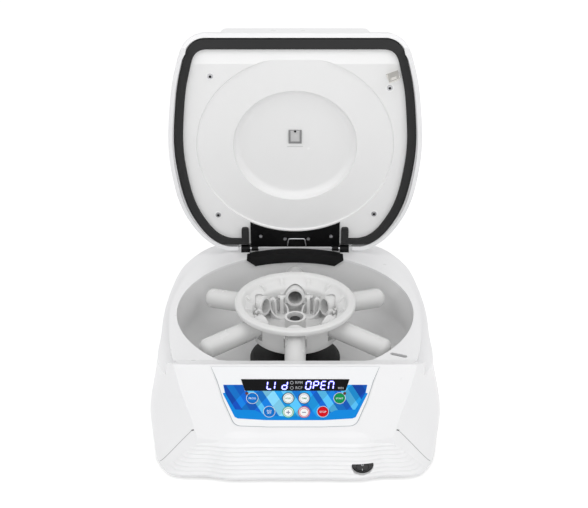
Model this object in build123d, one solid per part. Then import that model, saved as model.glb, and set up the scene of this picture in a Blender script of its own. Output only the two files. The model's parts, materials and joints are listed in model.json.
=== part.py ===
from build123d import *
from math import atan2, cos, degrees, radians, sin, sqrt, tan
import os

# A bench centrifuge with its lid open. While it is drawn, the rotor turns about X 0, Y 0,
# the flat deck is at height 0 and the lid is closed. The front is towards -Y.

# Housing
DECK_HEIGHT = 121.0  # deck above the table
RIM_GAP = 4.0  # lower rim of the housing above the table
WALL = 3.0
DECK_HALF = 150.0  # half width at the deck
BELLY_HALF = 162.5  # half width where the sides bulge most
BELLY_DROP = 86.0  # how far below the deck that is
BASE_HALF = 159.5  # half width at the lower rim
FACE_HALF = 101.0  # half width of the front face between its rounded corners
BASE_FACE_HALF = 121.5
FACE_Y = -158.5
BASE_FACE_Y = -154.0
FACE_BOW = 2.5  # how far the front face bulges at its middle
REAR_Y = 182.0
REAR_HALF = 76.0  # half width of the flat rear wall
RIDGE_Y = -139.0  # ridge above the control panel
RIDGE_Z = 15.0
RAMP_Y = -107.0  # where the flat deck bends up towards the ridge
PANEL_FOOT_Y = -158.0
PANEL_FOOT_Z = -62.0
LEDGE_DROP = 7.0  # ledge round the deck, for the lid's skirt
LEDGE_FRONT_Y = -126.0
PLATFORM_REAR_Y = 152.0
OPENING_RADIUS = 135.0
OPENING_FRONT_Y = -114.0
VENT_COUNT = 9  # upright slots in the rear wall
VENT_PITCH = 9.0
VENT_WIDTH = 3.5
VENT_TOP_Z = -24.0
VENT_FOOT_Z = -52.0

# Ribbed skirt below the control panel
RIB_COUNT = 8
RIB_TOP_Z = -70.0
RIB_FOOT_Z = -114.0
RIB_STEP = 1.6  # how far each rib stands out
RIB_PROFILE = ((0.0, 0.0), (0.3, 0.6), (0.6, 1.0), (0.85, 0.7))  # share of the pitch, of the step
COVE = ((10.0, 5.6), (4.0, 3.4), (-2.0, 1.2), (-6.0, 0.3))  # over the panel's foot, behind the ribs
SKIRT_TOP_Y = -160.6
SKIRT_FOOT_Y = -163.0
SKIRT_TOP_HALF = 101.0
SKIRT_FOOT_HALF = 146.0
SKIRT_TOP_END_Y = -156.5
SKIRT_FOOT_END_Y = -132.0
SKIRT_BACK_Y = -118.0
SKIRT_STEP_X = 78.0  # the middle stands proud up to here
SKIRT_STEP_WIDTH = 14.0
SKIRT_STEP_DEPTH = 3.6

# Lid
HINGE_Y = 143.0
HINGE_Z = 4.0
OPEN_ANGLE = 83.2
LID_HALF = 148.4
LID_FRONT_Y = -141.0
LID_REAR_Y = 145.0
LID_REAR_HALF = 84.0
LID_WALL = 3.0
SKIRT_WIDTH = 5.0  # thickness of the lid's skirt
SKIRT_GAP = 0.5  # all round between skirt and platform
SKIRT_RISE_Y = 60.0  # from here to the hinge the skirt's edge rises
LID_TOP_Z = 42.0
SPINE_HALF = 88.0  # half width of the raised middle of the lid
SPINE_TOP_HALF = 78.0
SPINE_TOP_Z = 50.0
LIP_Y = -140.0  # finger lip at the front of the spine
LINER_Z = 5.0
LINER_WALL = 2.5
RING_RADIUS = 116.8
RING_RISE = 2.0
RING_EASE = 1.8  # rounding between the step's wall and its floor
RECESS_RADIUS = 73.5
RECESS_RISE = 11.0
RECESS_EASE = 9.0
GASKET_OUTSET = 6.7  # lid's edge to the gasket
GASKET_WIDTH = 10.0
GASKET_GAP = 0.5  # gasket above the deck, uncompressed
WINDOW_WIDTH = 15.6
WINDOW_HEIGHT = 17.6
WINDOW_Y = -8.9  # from the middle of the recess
LINER_SCREWS = ((-96.7, -92.9), (108.3, -78.4), (-94.1, 94.0), (96.5, 92.5))
LINER_SCREW_HEAD = 3.2  # radius
BOSS_WALL = 2.5  # round each screw inside the lid

# Hinge
PIN_RADIUS = 2.0
PIN_GAP = 0.05
PIN_INNER_X = 45.0
PIN_OUTER_X = 67.0
KNUCKLE_RADIUS = 3.4
KNUCKLE_WIDTH = 8.0
BRACKET_WIDTH = 11.0
BRACKET_RADIUS = 4.2
PLATE_HALF = 55.0
PLATE_THICK = 1.5
PLATE_SCREWS = ((-42.5, 124.5), (44.5, 124.5), (-12.5, 128.5), (16.5, 128.5))
PLATE_SCREW_HEAD = 2.2  # radius
SCREW_SHANK = 0.45  # radius of a screw's shank as a share of its head's
SCREW_GAP = 0.1
WIRE_RADIUS = 0.8
GUARD_HALF = 62.5
GUARD_FOOT_HALF = 47.8
GUARD_STEP_HALF = 56.0  # thinner past here, under the lid's seal
GUARD_EDGE_THICK = 0.35
GUARD_OUTER = 147.0
GUARD_THICK = 1.5
GUARD_DROP = 11.5

# Chamber
CHAMBER_RADIUS = 136.0
CHAMBER_FLOOR_Z = -70.0
CHAMBER_WALL = 1.5
CHAMBER_CORNER = 22.0
CHAMBER_FLANGE = 2.0

# Rotor
BUCKET_COUNT = 6
BUCKET_FIRST = 30.0  # azimuth of the first bucket
BUCKET_RADIUS = 11.5
BUCKET_BORE = 8.2
BUCKET_MOUTH_R = 39.0
BUCKET_TIP_R = 120.5
BUCKET_TIP_EASE = 8.0
BUCKET_END_WALL = 5.0
BUCKET_TILT = 8.0  # at rest; the buckets swing up by less, to clear the housing's front lip
PIVOT_R = 41.5
PIVOT_Z = -8.0
TRUNNION_RADIUS = 2.2
TRUNNION_REACH = 20.6
ROTOR_RIM_RADIUS = 69.0
ROTOR_RIM_Z = 11.8
ROTOR_RIM_WIDTH = 9.5
ROTOR_WALL_RADIUS = 51.5  # bowl below the rim
ROTOR_WALL = 3.0
ROTOR_FOOT_RADIUS = 50.0
ROTOR_FOOT_Z = -30.0
HUB_RADIUS = 12.2
HUB_BORE = 9.6  # recess for the nut
NUT_DROP = 4.0
HUB_TOP_Z = -10.0
FIN_OFFSET = 15.6
FIN_THICK = 4.0
WELL_R = 37.2  # wells between the buckets, from the axis
WELL_RADIUS = 11.2
WELL_WALL = 1.8
WELL_Z = -18.3
WELL_SLANT = 35.0
SHAFT_RADIUS = 4.0
SHAFT_GAP = 0.05

# Motor
BOOT_RADIUS = 52.5
BOOT_TOP_Z = -47.0
MOTOR_RADIUS = 46.0
MOTOR_TOP_Z = -72.5
PAN_Z = -113.0  # underside of the base pan
PAN_THICK = 2.5
MOUNT_HEIGHT = 10.0
MOUNT_RADIUS = 8.0
MOTOR_PLATE_SIZE = 130.0
MOTOR_PLATE_THICK = 2.5
MOTOR_FOOT_RADIUS = 28.0  # bearing boss through the plate
MOTOR_FOOT_GAP = 2.0  # below the boss and the shaft
SUPPLY_LENGTH = 120.0
SUPPLY_WIDTH = 60.0
SUPPLY_HEIGHT = 30.0
SUPPLY_Y = 118.0

# Control panel: distances are measured down the panel from the ridge
OVERLAY_THICK = 1.0
OVERLAY_RECESS = 0.6
OVERLAY_GAP = 0.2
OVERLAY_CORNER = 9.0
KEY_RADIUS = 5.4
KEY_GAP = 0.35
KEY_RISE = 0.9
KEY_TRAVEL = 0.6
KEY_ROW = 37.0
LOW_KEY_ROW = 52.0
KEYS = (
    (-44.8, KEY_ROW), (-7.3, KEY_ROW), (9.2, KEY_ROW), (46.2, KEY_ROW),
    (-27.2, LOW_KEY_ROW), (-7.3, LOW_KEY_ROW + 0.4), (9.2, LOW_KEY_ROW + 0.4), (28.9, LOW_KEY_ROW),
)
LAMPS = ((-50.5, 31.6), (51.5, 31.6))
LAMP_RADIUS = 1.5
LAMP_STEM_RADIUS = 0.6
BOARD_DEPTH = 6.2  # from the panel's face to the control board
BOARD_TOP = 29.5
BOARD_FOOT = 64.0
BOARD_THICK = 1.2
DISPLAY_TOP = 16.0
DISPLAY_FOOT = 28.9
DISPLAY_TOP_HALF = 56.5
DISPLAY_FOOT_HALF = 52.5

# Power switch in the skirt
SWITCH_X = 71.6
SWITCH_Z = -98.0
SWITCH_RADIUS = 11.6
SWITCH_CROWN = 3.2  # height of the flattened top above the centre
ROCKER_WIDTH = 13.0
ROCKER_HEIGHT = 7.6
ROCKER_DEPTH = 5.0
ROCKER_DROP = 3.6  # below the switch's centre
ROCKER_TILT = 6.0
ROCKER_PIN_RADIUS = 1.0
ROCKER_PIN_REACH = 9.0  # from the switch's middle
SWITCH_DEPTH = 16.0

# Lid lock at the right front
LOCK_X = 111.0
LOCK_Y = -97.5
LOCK_ANGLE = -22.2
LOCK_SLOT_LENGTH = 19.0
LOCK_SLOT_WIDTH = 5.0
LOCK_LENGTH = 26.0
LOCK_WIDTH = 13.0
LOCK_DEPTH = 20.0
LOCK_BARREL_RADIUS = 7.0
LOCK_BARREL_REACH = 26.0  # from the slot to the barrel's front end
HOOK_WIDTH = 12.0
HOOK_THICK = 1.6
HOOK_DROP = 17.0
HOOK_FOOT = 10.0  # the hook's flange on the liner
BOLT_RADIUS = 2.2
BOLT_LENGTH = 16.2
BOLT_SETBACK = 2.8  # from the slot's middle to the bolt, drawn back
BOLT_Z = -11.5
BOLT_TRAVEL = 5.0

# Rear mains inlet
INLET_Z = -88.0
INLET_FLANGE = 2.5
INLET_HALF = 24.0  # half width of the part that goes through the wall
INLET_RISE = 14.0  # half height
INLET_EDGE = 3.0  # flange past the hole
INLET_DEPTH = 24.0
INLET_GAP = 0.2
SOCKET_DEPTH = 17.0
PIN_PLACES = ((4.0, -2.5), (18.0, -2.5), (11.0, 2.5))
DRAWER_HALF = 8.0
DRAWER_X = -13.0

# Feet
FOOT_RADIUS = 11.0
FOOT_SCREW_RADIUS = 5.5
FEET = ((-112.0, -112.0), (112.0, -112.0), (-95.0, 120.0), (95.0, 120.0))

FRONT_REACH = SKIRT_FOOT_Y - RIB_STEP
ROTOR_Y = -(REAR_Y + INLET_FLANGE + FRONT_REACH) / 2
RAMP_ANGLE = degrees(atan2(RIDGE_Z, RAMP_Y - RIDGE_Y))
RIM_Z = RIM_GAP - DECK_HEIGHT
SWITCH_FRONT_Y = SKIRT_TOP_Y + 0.9
ROCKER_Y = SWITCH_FRONT_Y + 2.0
FAR = 400.0

# Plane on the control panel's face: X to the right, Y up the slope from the ridge, Z outwards
PANEL_LEAN = degrees(atan2(RIDGE_Y - PANEL_FOOT_Y, RIDGE_Z - PANEL_FOOT_Z))
PANEL = Plane(
    origin=(0, RIDGE_Y, RIDGE_Z),
    x_dir=(1, 0, 0),
    z_dir=(0, -cos(radians(PANEL_LEAN)), sin(radians(PANEL_LEAN))),
)


def block(x0, x1, y0, y1, z0, z1):
    """Box between two corners."""
    return Pos((x0 + x1) / 2, (y0 + y1) / 2, (z0 + z1) / 2) * Box(abs(x1 - x0), abs(y1 - y0), abs(z1 - z0))


def disc(radius, z0, z1, x=0.0, y=0.0):
    """Upright cylinder between two heights."""
    return Pos(x, y, (z0 + z1) / 2) * Cylinder(radius, abs(z1 - z0))


def rod(radius, start, end):
    """Cylinder from one point to another."""
    start, end = Vector(*start), Vector(*end)
    length = (end - start).length
    return Plane(origin=start, z_dir=end - start) * Pos(0, 0, length / 2) * Cylinder(radius, length)


def mirrored_face(points, front_bow=0.0):
    """Face inside a curve through the right half's points, front to rear, and its mirror image."""
    right = Spline(*points)
    other = [(-x, y) for x, y in reversed(points)]
    left = Spline(*other)
    rear = Line(points[-1], other[0])
    if front_bow:
        front = ThreePointArc(other[-1], (0, points[0][1] - front_bow), points[0])
    else:
        front = Line(other[-1], points[0])
    return make_face([front.edge(), right.edge(), rear.edge(), left.edge()])


def inset_points(points, inset):
    """Outline points moved inwards, each along its own normal."""
    moved = []
    for index, (x, y) in enumerate(points):
        before = points[max(index - 1, 0)]
        after = points[min(index + 1, len(points) - 1)]
        along = (after[0] - before[0], after[1] - before[1])
        size = sqrt(along[0] ** 2 + along[1] ** 2)
        if index in (0, len(points) - 1):
            moved.append((x - inset * 0.4, y - inset if y > 0 else y + inset))
        else:
            moved.append((x - inset * along[1] / size, y + inset * along[0] / size))
    return moved


def housing_face(z, half, face_half, face_y, inset=0.0):
    """Outline of the housing at one height."""
    points = [
        (face_half, face_y),
        (face_half + 0.16 * half, face_y + 18),
        (0.978 * half, 0.634 * face_y),
        (0.992 * half, 0.32 * face_y),
        (half, 0.08 * face_y),
        (0.963 * half, 0.416 * REAR_Y),
        (0.909 * half, 0.639 * REAR_Y),
        (0.85 * half, 0.754 * REAR_Y),
        (0.76 * half, 0.873 * REAR_Y),
        (REAR_HALF, REAR_Y),
    ]
    return Pos(0, 0, z) * mirrored_face(inset_points(points, inset), FACE_BOW)


def housing_body(inset=0.0):
    """Bulging body of the housing from the rim to above the ridge, with no deck yet."""
    low_half = BASE_HALF + 0.75 * (BELLY_HALF - BASE_HALF)
    low_z = RIM_Z + 0.5 * (-BELLY_DROP - RIM_Z)
    levels = (
        (RIM_Z, BASE_HALF, BASE_FACE_HALF, BASE_FACE_Y),
        (low_z, low_half, BASE_FACE_HALF - 3, BASE_FACE_Y),
        (-BELLY_DROP, BELLY_HALF, (BASE_FACE_HALF + FACE_HALF) / 2, (BASE_FACE_Y + FACE_Y) / 2),
        (PANEL_FOOT_Z + 12, (BELLY_HALF + DECK_HALF) / 2 + 1.5, FACE_HALF, FACE_Y),
        (0, DECK_HALF, FACE_HALF, FACE_Y),
        (RIDGE_Z + 8, DECK_HALF - 1, FACE_HALF, FACE_Y),
    )
    return loft([housing_face(z, half, face, y, inset) for z, half, face, y in levels])


def under(rise):
    """Everything below the deck's profile lifted by a distance along its normal."""
    half_turn = radians(RAMP_ANGLE) / 2
    bend_y = RAMP_Y - rise * tan(half_turn)
    front_y = RIDGE_Y - 60
    front_z = rise / cos(radians(RAMP_ANGLE)) + (RAMP_Y - front_y) * tan(radians(RAMP_ANGLE))
    corners = [(FAR, rise), (bend_y, rise), (front_y, front_z), (front_y, -FAR), (FAR, -FAR)]
    profile = Polyline(*corners, close=True)
    return extrude(Plane.YZ * make_face(profile), FAR, both=True)


def behind_panel(inset=0.0):
    """Everything behind the plane of the control panel."""
    return PANEL * Pos(0, 0, -FAR / 2 - inset) * Box(2 * FAR, 3 * FAR, FAR)


def lid_face(z, inset=0.0, shrink=0.0):
    """Outline of the lid at one height, moved in by an inset and drawn in towards the middle by a shrink."""
    points = [
        (0.715 * LID_HALF, LID_FRONT_Y),
        (0.86 * LID_HALF, LID_FRONT_Y + 14),
        (0.905 * LID_HALF, LID_FRONT_Y + 30),
        (0.945 * LID_HALF, LID_FRONT_Y + 55),
        (0.98 * LID_HALF, LID_FRONT_Y + 93),
        (LID_HALF, 0.01 * LID_FRONT_Y),
        (0.977 * LID_HALF, 0.28 * LID_REAR_Y),
        (0.91 * LID_HALF, 0.59 * LID_REAR_Y),
        (0.82 * LID_HALF, 0.78 * LID_REAR_Y),
        (0.71 * LID_HALF, 0.92 * LID_REAR_Y),
        (LID_REAR_HALF, LID_REAR_Y),
    ]
    share = 1 - shrink / LID_HALF
    points = [(share * x, share * y) for x, y in points]
    return Pos(0, 0, z) * mirrored_face(inset_points(points, inset))


def lid_column(inset, z0, z1):
    """Upright solid with the lid's outline."""
    return extrude(lid_face(z0, inset), z1 - z0, dir=(0, 0, 1))


def platform(growth=0.0, z0=-LEDGE_DROP, z1=FAR / 4):
    """Raised part of the deck inside the ledge."""
    column = lid_column(SKIRT_WIDTH + SKIRT_GAP - growth, z0, z1)
    return column + block(-60, 60, LID_REAR_Y - 30, PLATFORM_REAR_Y + growth, z0, z1)


def ledge_room(inset=0.0):
    """Air above the ledge that runs round the platform."""
    low = -LEDGE_DROP - inset
    room = block(-FAR / 2, FAR / 2, LEDGE_FRONT_Y - inset, FAR, low, FAR / 4)
    return room - platform(-inset, low)


def on_panel(x, down, z=0.0):
    """Place on the panel's face by distance across and down from the ridge."""
    return PANEL * Pos(x, -down, z)


def panel_plate(corners, z0, z1, foot_radius=1.5):
    """Plate on the panel bounded by corners given across and down from the ridge, round at its foot."""
    face = make_face(Polyline(*[(x, -down) for x, down in corners], close=True))
    foot = face.vertices().filter_by(lambda v: abs(v.X) > 0.5 * corners[0][0]).sort_by(Axis.Y)[:2]
    return PANEL * (Pos(0, 0, z0) * extrude(fillet(foot, foot_radius), z1 - z0))


def overlay_corners(inset=0.0):
    """Outline of the control panel's insert, wide at the top and rounded at the foot."""
    right = [(88.0, 2.0), (82.0, 19.0), (76.0, 40.0), (64.5, 68.6), (30.0, 69.9)]
    right = [(x - inset, down + inset if down < 10 else down - 0.5 * inset) for x, down in right]
    return right + [(-x, down) for x, down in reversed(right)]


def display_corners(inset=0.0):
    """Outline of the display window."""
    top, foot = DISPLAY_TOP + inset, DISPLAY_FOOT - inset
    return [
        (DISPLAY_TOP_HALF - inset, top),
        (DISPLAY_FOOT_HALF - inset, foot),
        (-DISPLAY_FOOT_HALF + inset, foot),
        (-DISPLAY_TOP_HALF + inset, top),
    ]


def skirt_face(z, out):
    """Outline of the ribbed skirt at one height, moved out to the front."""
    share = max(PANEL_FOOT_Z - z, 0) / (PANEL_FOOT_Z - RIM_Z)
    middle = SKIRT_TOP_Y + share * (SKIRT_FOOT_Y - SKIRT_TOP_Y) - out
    half = SKIRT_TOP_HALF + share * (SKIRT_FOOT_HALF - SKIRT_TOP_HALF)
    end = SKIRT_TOP_END_Y + share * (SKIRT_FOOT_END_Y - SKIRT_TOP_END_Y) - 0.4 * out
    step = SKIRT_STEP_X + SKIRT_STEP_WIDTH
    right = [
        (SKIRT_STEP_X / 2, middle + 0.25),
        (SKIRT_STEP_X, middle + 0.9),
        (step, middle + 0.9 + SKIRT_STEP_DEPTH * (0.6 + 0.4 * share)),
        (half - 4 - 12 * share, middle + 1.4 + SKIRT_STEP_DEPTH * (0.6 + 0.9 * share)),
        (half, end),
    ]
    left = [(-x, y) for x, y in reversed(right)]
    front = Spline(*left, (0, middle), *right)
    back = Polyline((half, end), (half - 10, SKIRT_BACK_Y), (10 - half, SKIRT_BACK_Y), (-half, end))
    return Pos(0, 0, z) * make_face([front.edge(), *back.edges()])


def ribbed_skirt():
    """Skirt that curves out from the panel's foot and falls in rounded ribs to the rim."""
    pitch = (RIB_TOP_Z - RIB_FOOT_Z) / RIB_COUNT
    levels = [(PANEL_FOOT_Z + rise, -out) for rise, out in COVE]
    for index in range(RIB_COUNT):
        for share, out in RIB_PROFILE:
            levels.append((RIB_TOP_Z - (index + share) * pitch, out * RIB_STEP))
    levels += [(RIB_FOOT_Z, 0.2), (RIM_Z, -1.2)]
    return loft([skirt_face(z, out) for z, out in levels], ruled=True)


def switch_outline(grow=0.0):
    """Round switch outline with a flattened top, on the plane of the skirt's front."""
    circle = Circle(SWITCH_RADIUS + grow)
    cap = Pos(0, SWITCH_CROWN + grow - FAR / 2) * Rectangle(FAR, FAR)
    return Plane.XZ * Pos(SWITCH_X, SWITCH_Z) * (circle & cap)


def lock_place(along=0.0, across=0.0, z=0.0):
    """Place at the lid lock: along the slot, across it towards the rear, and height."""
    return Pos(LOCK_X, LOCK_Y, 0) * Rot(0, 0, LOCK_ANGLE) * Pos(along, across, z)


def make_housing():
    """Moulded housing with deck, ramp, panel face, skirt and all its openings."""
    outer = (housing_body() & under(0) & behind_panel()) + ribbed_skirt()
    outer -= ledge_room()
    inner = housing_body(WALL) & under(-WALL) & behind_panel(WALL)
    inner += extrude(housing_face(RIM_Z, BASE_HALF, BASE_FACE_HALF, BASE_FACE_Y, WALL), 1, dir=(0, 0, -1))
    inner -= ledge_room(WALL)
    shell = outer - inner
    opening = disc(OPENING_RADIUS, -10, 40)
    shell -= opening & block(-FAR, FAR, OPENING_FRONT_Y, FAR, -10, 40)
    shell -= lock_place(0, 0, -5) * extrude(SlotOverall(LOCK_SLOT_LENGTH, LOCK_SLOT_WIDTH), 20)
    shell -= panel_plate(overlay_corners(), -OVERLAY_RECESS, 10, OVERLAY_CORNER)
    shell -= panel_plate(display_corners(4), -10, 10)
    for x, down in KEYS:
        shell -= on_panel(x, down) * Cylinder(KEY_RADIUS + KEY_GAP, 30)
    for x, down in LAMPS:
        shell -= on_panel(x, down) * Cylinder(LAMP_RADIUS + 0.1, 30)
    shell -= extrude(switch_outline(0.2), 200, dir=(0, -1, 0)) & block(0, FAR, -FAR, -100, -FAR, 0)
    half, rise = INLET_HALF + INLET_GAP, INLET_RISE + INLET_GAP
    shell -= block(-half, half, REAR_Y - 10, REAR_Y + 10, INLET_Z - rise, INLET_Z + rise)
    for index in range(VENT_COUNT):
        x = (index - (VENT_COUNT - 1) / 2) * VENT_PITCH
        low, high = x - VENT_WIDTH / 2, x + VENT_WIDTH / 2
        shell -= block(low, high, REAR_Y - 10, REAR_Y + 10, VENT_FOOT_Z, VENT_TOP_Z)
    return shell


def make_base_pan():
    """Steel pan that closes the housing from below."""
    face = housing_face(PAN_Z, BASE_HALF, BASE_FACE_HALF, BASE_FACE_Y, WALL + 0.9)
    return extrude(face, PAN_THICK, dir=(0, 0, 1))


def make_chamber():
    """Round bowl below the deck, with a flange against the deck's underside."""
    top = -WALL
    outer = CHAMBER_RADIUS + CHAMBER_WALL
    cup = disc(outer, CHAMBER_FLOOR_Z - CHAMBER_WALL, top)
    cup = fillet(cup.edges().group_by(Axis.Z)[0], CHAMBER_CORNER + CHAMBER_WALL)
    room = disc(CHAMBER_RADIUS, CHAMBER_FLOOR_Z, top + 1)
    room = fillet(room.edges().group_by(Axis.Z)[0], CHAMBER_CORNER)
    flange = disc(outer + CHAMBER_FLANGE, top - CHAMBER_WALL, top)
    flange &= block(-FAR, FAR, -outer, FAR, top - CHAMBER_WALL, top)
    lock_room = lock_place(2, 0, -12) * Box(32, 16, 40)
    return cup + (flange - lock_room) - room - disc(24, CHAMBER_FLOOR_Z - 5, CHAMBER_FLOOR_Z + 5)


def make_guard():
    """Rubber guard over the chamber's rear edge, below the hinge."""
    inner = OPENING_RADIUS - 0.3
    top = disc(GUARD_OUTER, 0, GUARD_THICK) - disc(inner - GUARD_THICK, -1, GUARD_THICK + 1)
    drop = disc(inner, -GUARD_DROP, 0) - disc(inner - GUARD_THICK, -GUARD_DROP - 1, 1)
    low = GUARD_FOOT_HALF
    right = [
        (low, -GUARD_DROP - 1), (GUARD_HALF - 3, -1), (GUARD_HALF - 3, GUARD_EDGE_THICK),
        (GUARD_STEP_HALF, GUARD_EDGE_THICK), (GUARD_STEP_HALF, 4),
    ]
    sides = Polyline(*right, *[(-x, z) for x, z in reversed(right)], close=True)
    keep = extrude(Plane.XZ * make_face(sides), -FAR)
    return (top + drop) & keep


def hinge_rod(radius, x0, x1):
    """Cylinder on the hinge's axis."""
    return rod(radius, (x0, HINGE_Y, HINGE_Z), (x1, HINGE_Y, HINGE_Z))


def make_hinge_brackets():
    """Two ears on the deck that hold the hinge pins."""
    ears = []
    for side in (-1, 1):
        x0, x1 = side * (PIN_OUTER_X - BRACKET_WIDTH), side * PIN_OUTER_X
        low, high = min(x0, x1), max(x0, x1)
        ear = hinge_rod(BRACKET_RADIUS, x0, x1)
        ear += block(low, high, HINGE_Y - BRACKET_RADIUS, HINGE_Y + BRACKET_RADIUS, 0, HINGE_Z)
        ear += block(low, high, HINGE_Y - BRACKET_RADIUS, PLATFORM_REAR_Y - 0.5, 0, 1.2)
        ear &= block(low, high, 0, FAR, 0, FAR)
        ears.append(ear - hinge_rod(PIN_RADIUS, x0 - side, x1 + side))
    return Compound(children=ears)


def make_hinge_pins():
    """Two short steel pins."""
    pins = [hinge_rod(PIN_RADIUS, side * PIN_INNER_X, side * PIN_OUTER_X) for side in (-1, 1)]
    return Compound(children=pins)


def make_hinge_plate():
    """Black steel plate under the lid's liner, with a rolled knuckle at each side."""
    low = LINER_Z - PLATE_THICK
    edge = HINGE_Y - 2.5
    plate = block(-PLATE_HALF, PLATE_HALF, 90, edge, low, LINER_Z)
    plate -= disc(RING_RADIUS + 1.5, low - 1, LINER_Z + 1)
    for side in (-1, 1):
        x0, x1 = side * (PIN_INNER_X + 1), side * (PIN_INNER_X + 1 + KNUCKLE_WIDTH)
        plate += hinge_rod(KNUCKLE_RADIUS, x0, x1)
        plate -= hinge_rod(PIN_RADIUS + PIN_GAP, x0 - side, x1 + side)
    return drill(plate, PLATE_SCREWS, PLATE_SCREW_HEAD)


def small_screws(places, head_radius, z, length):
    """Group of pan-head screws with their heads at a height, pointing up."""
    screws = []
    for x, y in places:
        low = z - 0.45 * head_radius
        screw = disc(head_radius, low, z, x, y) + disc(head_radius * SCREW_SHANK, z, z + length, x, y)
        screws.append(screw - Pos(x, y, low) * Box(head_radius * 1.3, 0.6, 0.8))
    return Compound(children=screws)


def drill(piece, places, head_radius):
    """Piece of the lid with clearance holes for a group of screws."""
    for x, y in places:
        piece -= disc(head_radius * SCREW_SHANK + SCREW_GAP, -10, LINER_Z + 9, x, y)
    return piece


def make_lid_shell():
    """Outer shell of the lid: skirt, domed shoulders, raised spine, finger lip and screw bosses."""
    skirt_z = SKIRT_GAP - LEDGE_DROP
    levels = ((skirt_z, 0.0), (8.0, 0.3), (25.0, 3.0), (35.0, 11.0), (LID_TOP_Z, 32.0))
    dome = loft([lid_face(z, 0, shrink) for z, shrink in levels])
    shell = dome + make_spine(0.0)
    levels = ((skirt_z - 4, 0.0), (8.0, 0.3), (24.0, 2.6), (32.0, 10.0), (LID_TOP_Z - LID_WALL, 30.0))
    shell -= loft([lid_face(z, SKIRT_WIDTH, shrink) for z, shrink in levels])
    shell -= make_spine(LID_WALL)
    for places, head_radius in ((LINER_SCREWS, LINER_SCREW_HEAD), (PLATE_SCREWS, PLATE_SCREW_HEAD)):
        for x, y in places:
            boss = disc(head_radius * SCREW_SHANK + BOSS_WALL, LINER_Z + LINER_WALL, LID_TOP_Z, x, y)
            shell += boss & dome
        shell = drill(shell, places, head_radius)
    front = under(0.8) & block(-FAR, FAR, -FAR, LEDGE_FRONT_Y + 0.5, -FAR, FAR)
    shell -= front
    shell -= platform(SKIRT_GAP, skirt_z - 5) & under(1.0)
    shell -= rising_skirt_room(skirt_z)
    notch_half = PIN_OUTER_X + 4
    shell -= block(-notch_half, notch_half, HINGE_Y - 8, FAR, -20, HINGE_Z + 5.2)
    return shell


def rising_skirt_room(skirt_z):
    """Room below the lid's skirt, whose lower edge rises towards the hinge so that it clears the platform."""
    profile = Polyline(
        (SKIRT_RISE_Y, skirt_z), (HINGE_Y - 3, 1.0), (FAR, 1.0), (FAR, -20), (SKIRT_RISE_Y, -20), close=True,
    )
    return extrude(Plane.YZ * make_face(profile), FAR, both=True)


def make_spine(inset):
    """Raised middle of the lid, or the hollow inside it."""
    foot = 14.0 if not inset else LINER_Z + RECESS_RISE + LINER_WALL + 1
    levels = (
        (foot, SPINE_HALF - inset, LIP_Y + inset * 4, 128 - inset),
        (36.0 - inset, SPINE_HALF - inset - 1, LIP_Y + 2 + inset * 4, 122 - inset),
        (SPINE_TOP_Z - inset, SPINE_TOP_HALF - inset, LIP_Y + 16 + inset * 4, 96 - inset),
    )
    faces = []
    for z, half, front, rear in levels:
        rectangle = RectangleRounded(2 * half, rear - front, 10)
        faces.append(Pos(0, (front + rear) / 2, z) * rectangle)
    return loft(faces, ruled=True)


def eased_disc(radius, top, ease):
    """Disc from below the liner up to a height, with its upper edge rounded."""
    plain = disc(radius, -10, top)
    return fillet(plain.edges().sort_by(Axis.Z)[-1], ease)


def make_liner():
    """Inner tray of the lid with a shallow ring step and a deep round recess."""
    steps = ((RING_RADIUS, RING_RISE, RING_EASE), (RECESS_RADIUS, RECESS_RISE, RECESS_EASE))
    keep = lid_column(SKIRT_WIDTH + SKIRT_GAP + 0.8, -20, LID_TOP_Z)
    keep &= block(-FAR, FAR, LID_FRONT_Y + SKIRT_WIDTH + 0.6, HINGE_Y - 7, -20, LID_TOP_Z)
    tray = under(LINER_Z + LINER_WALL)
    room = under(LINER_Z)
    for radius, rise, ease in steps:
        tray += eased_disc(radius + LINER_WALL, LINER_Z + LINER_WALL + rise, ease + LINER_WALL)
        room += eased_disc(radius, LINER_Z + rise, ease)
    liner = drill((tray - room) & keep, LINER_SCREWS, LINER_SCREW_HEAD)
    return drill(liner, PLATE_SCREWS, PLATE_SCREW_HEAD)


def make_gasket():
    """Rubber seal round the liner, open at the hinge plate, with ends that turn to the front."""
    ring = lid_column(GASKET_OUTSET, -20, 60) - lid_column(GASKET_OUTSET + GASKET_WIDTH, -21, 61)
    ring &= under(LINER_Z) - under(GASKET_GAP)
    ring -= block(-PLATE_HALF - 2, PLATE_HALF + 2, 80, FAR, -20, 60)
    front = LID_FRONT_Y + GASKET_OUTSET
    ring &= block(-FAR, FAR, front, HINGE_Y - 8, -20, 60)
    for side in (-1, 1):
        x0 = side * (PLATE_HALF + 2)
        tail = block(x0, x0 + side * 0.9 * GASKET_WIDTH, HINGE_Y - 31, HINGE_Y - 10, GASKET_GAP, LINER_Z)
        front_edges = tail.edges().filter_by(Axis.Z).sort_by(Axis.Y)[:2]
        ring += fillet(front_edges, 3)
    return ring - disc(RING_RADIUS + 0.5, -20, 60)


def make_hook():
    """Nickel-plated hook that hangs from the liner into the lock."""
    plate = lock_place(0, 0, (LINER_Z - HOOK_DROP) / 2) * Box(HOOK_WIDTH, HOOK_THICK, LINER_Z + HOOK_DROP)
    plate -= lock_place(0, 0, BOLT_Z) * Box(2 * BOLT_RADIUS + 2.4, 10, 2 * BOLT_RADIUS + 1.6)
    foot = lock_place(-1, 4.2, LINER_Z - HOOK_THICK / 2) * Box(HOOK_WIDTH + 2, HOOK_FOOT, HOOK_THICK)
    return plate + foot


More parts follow.
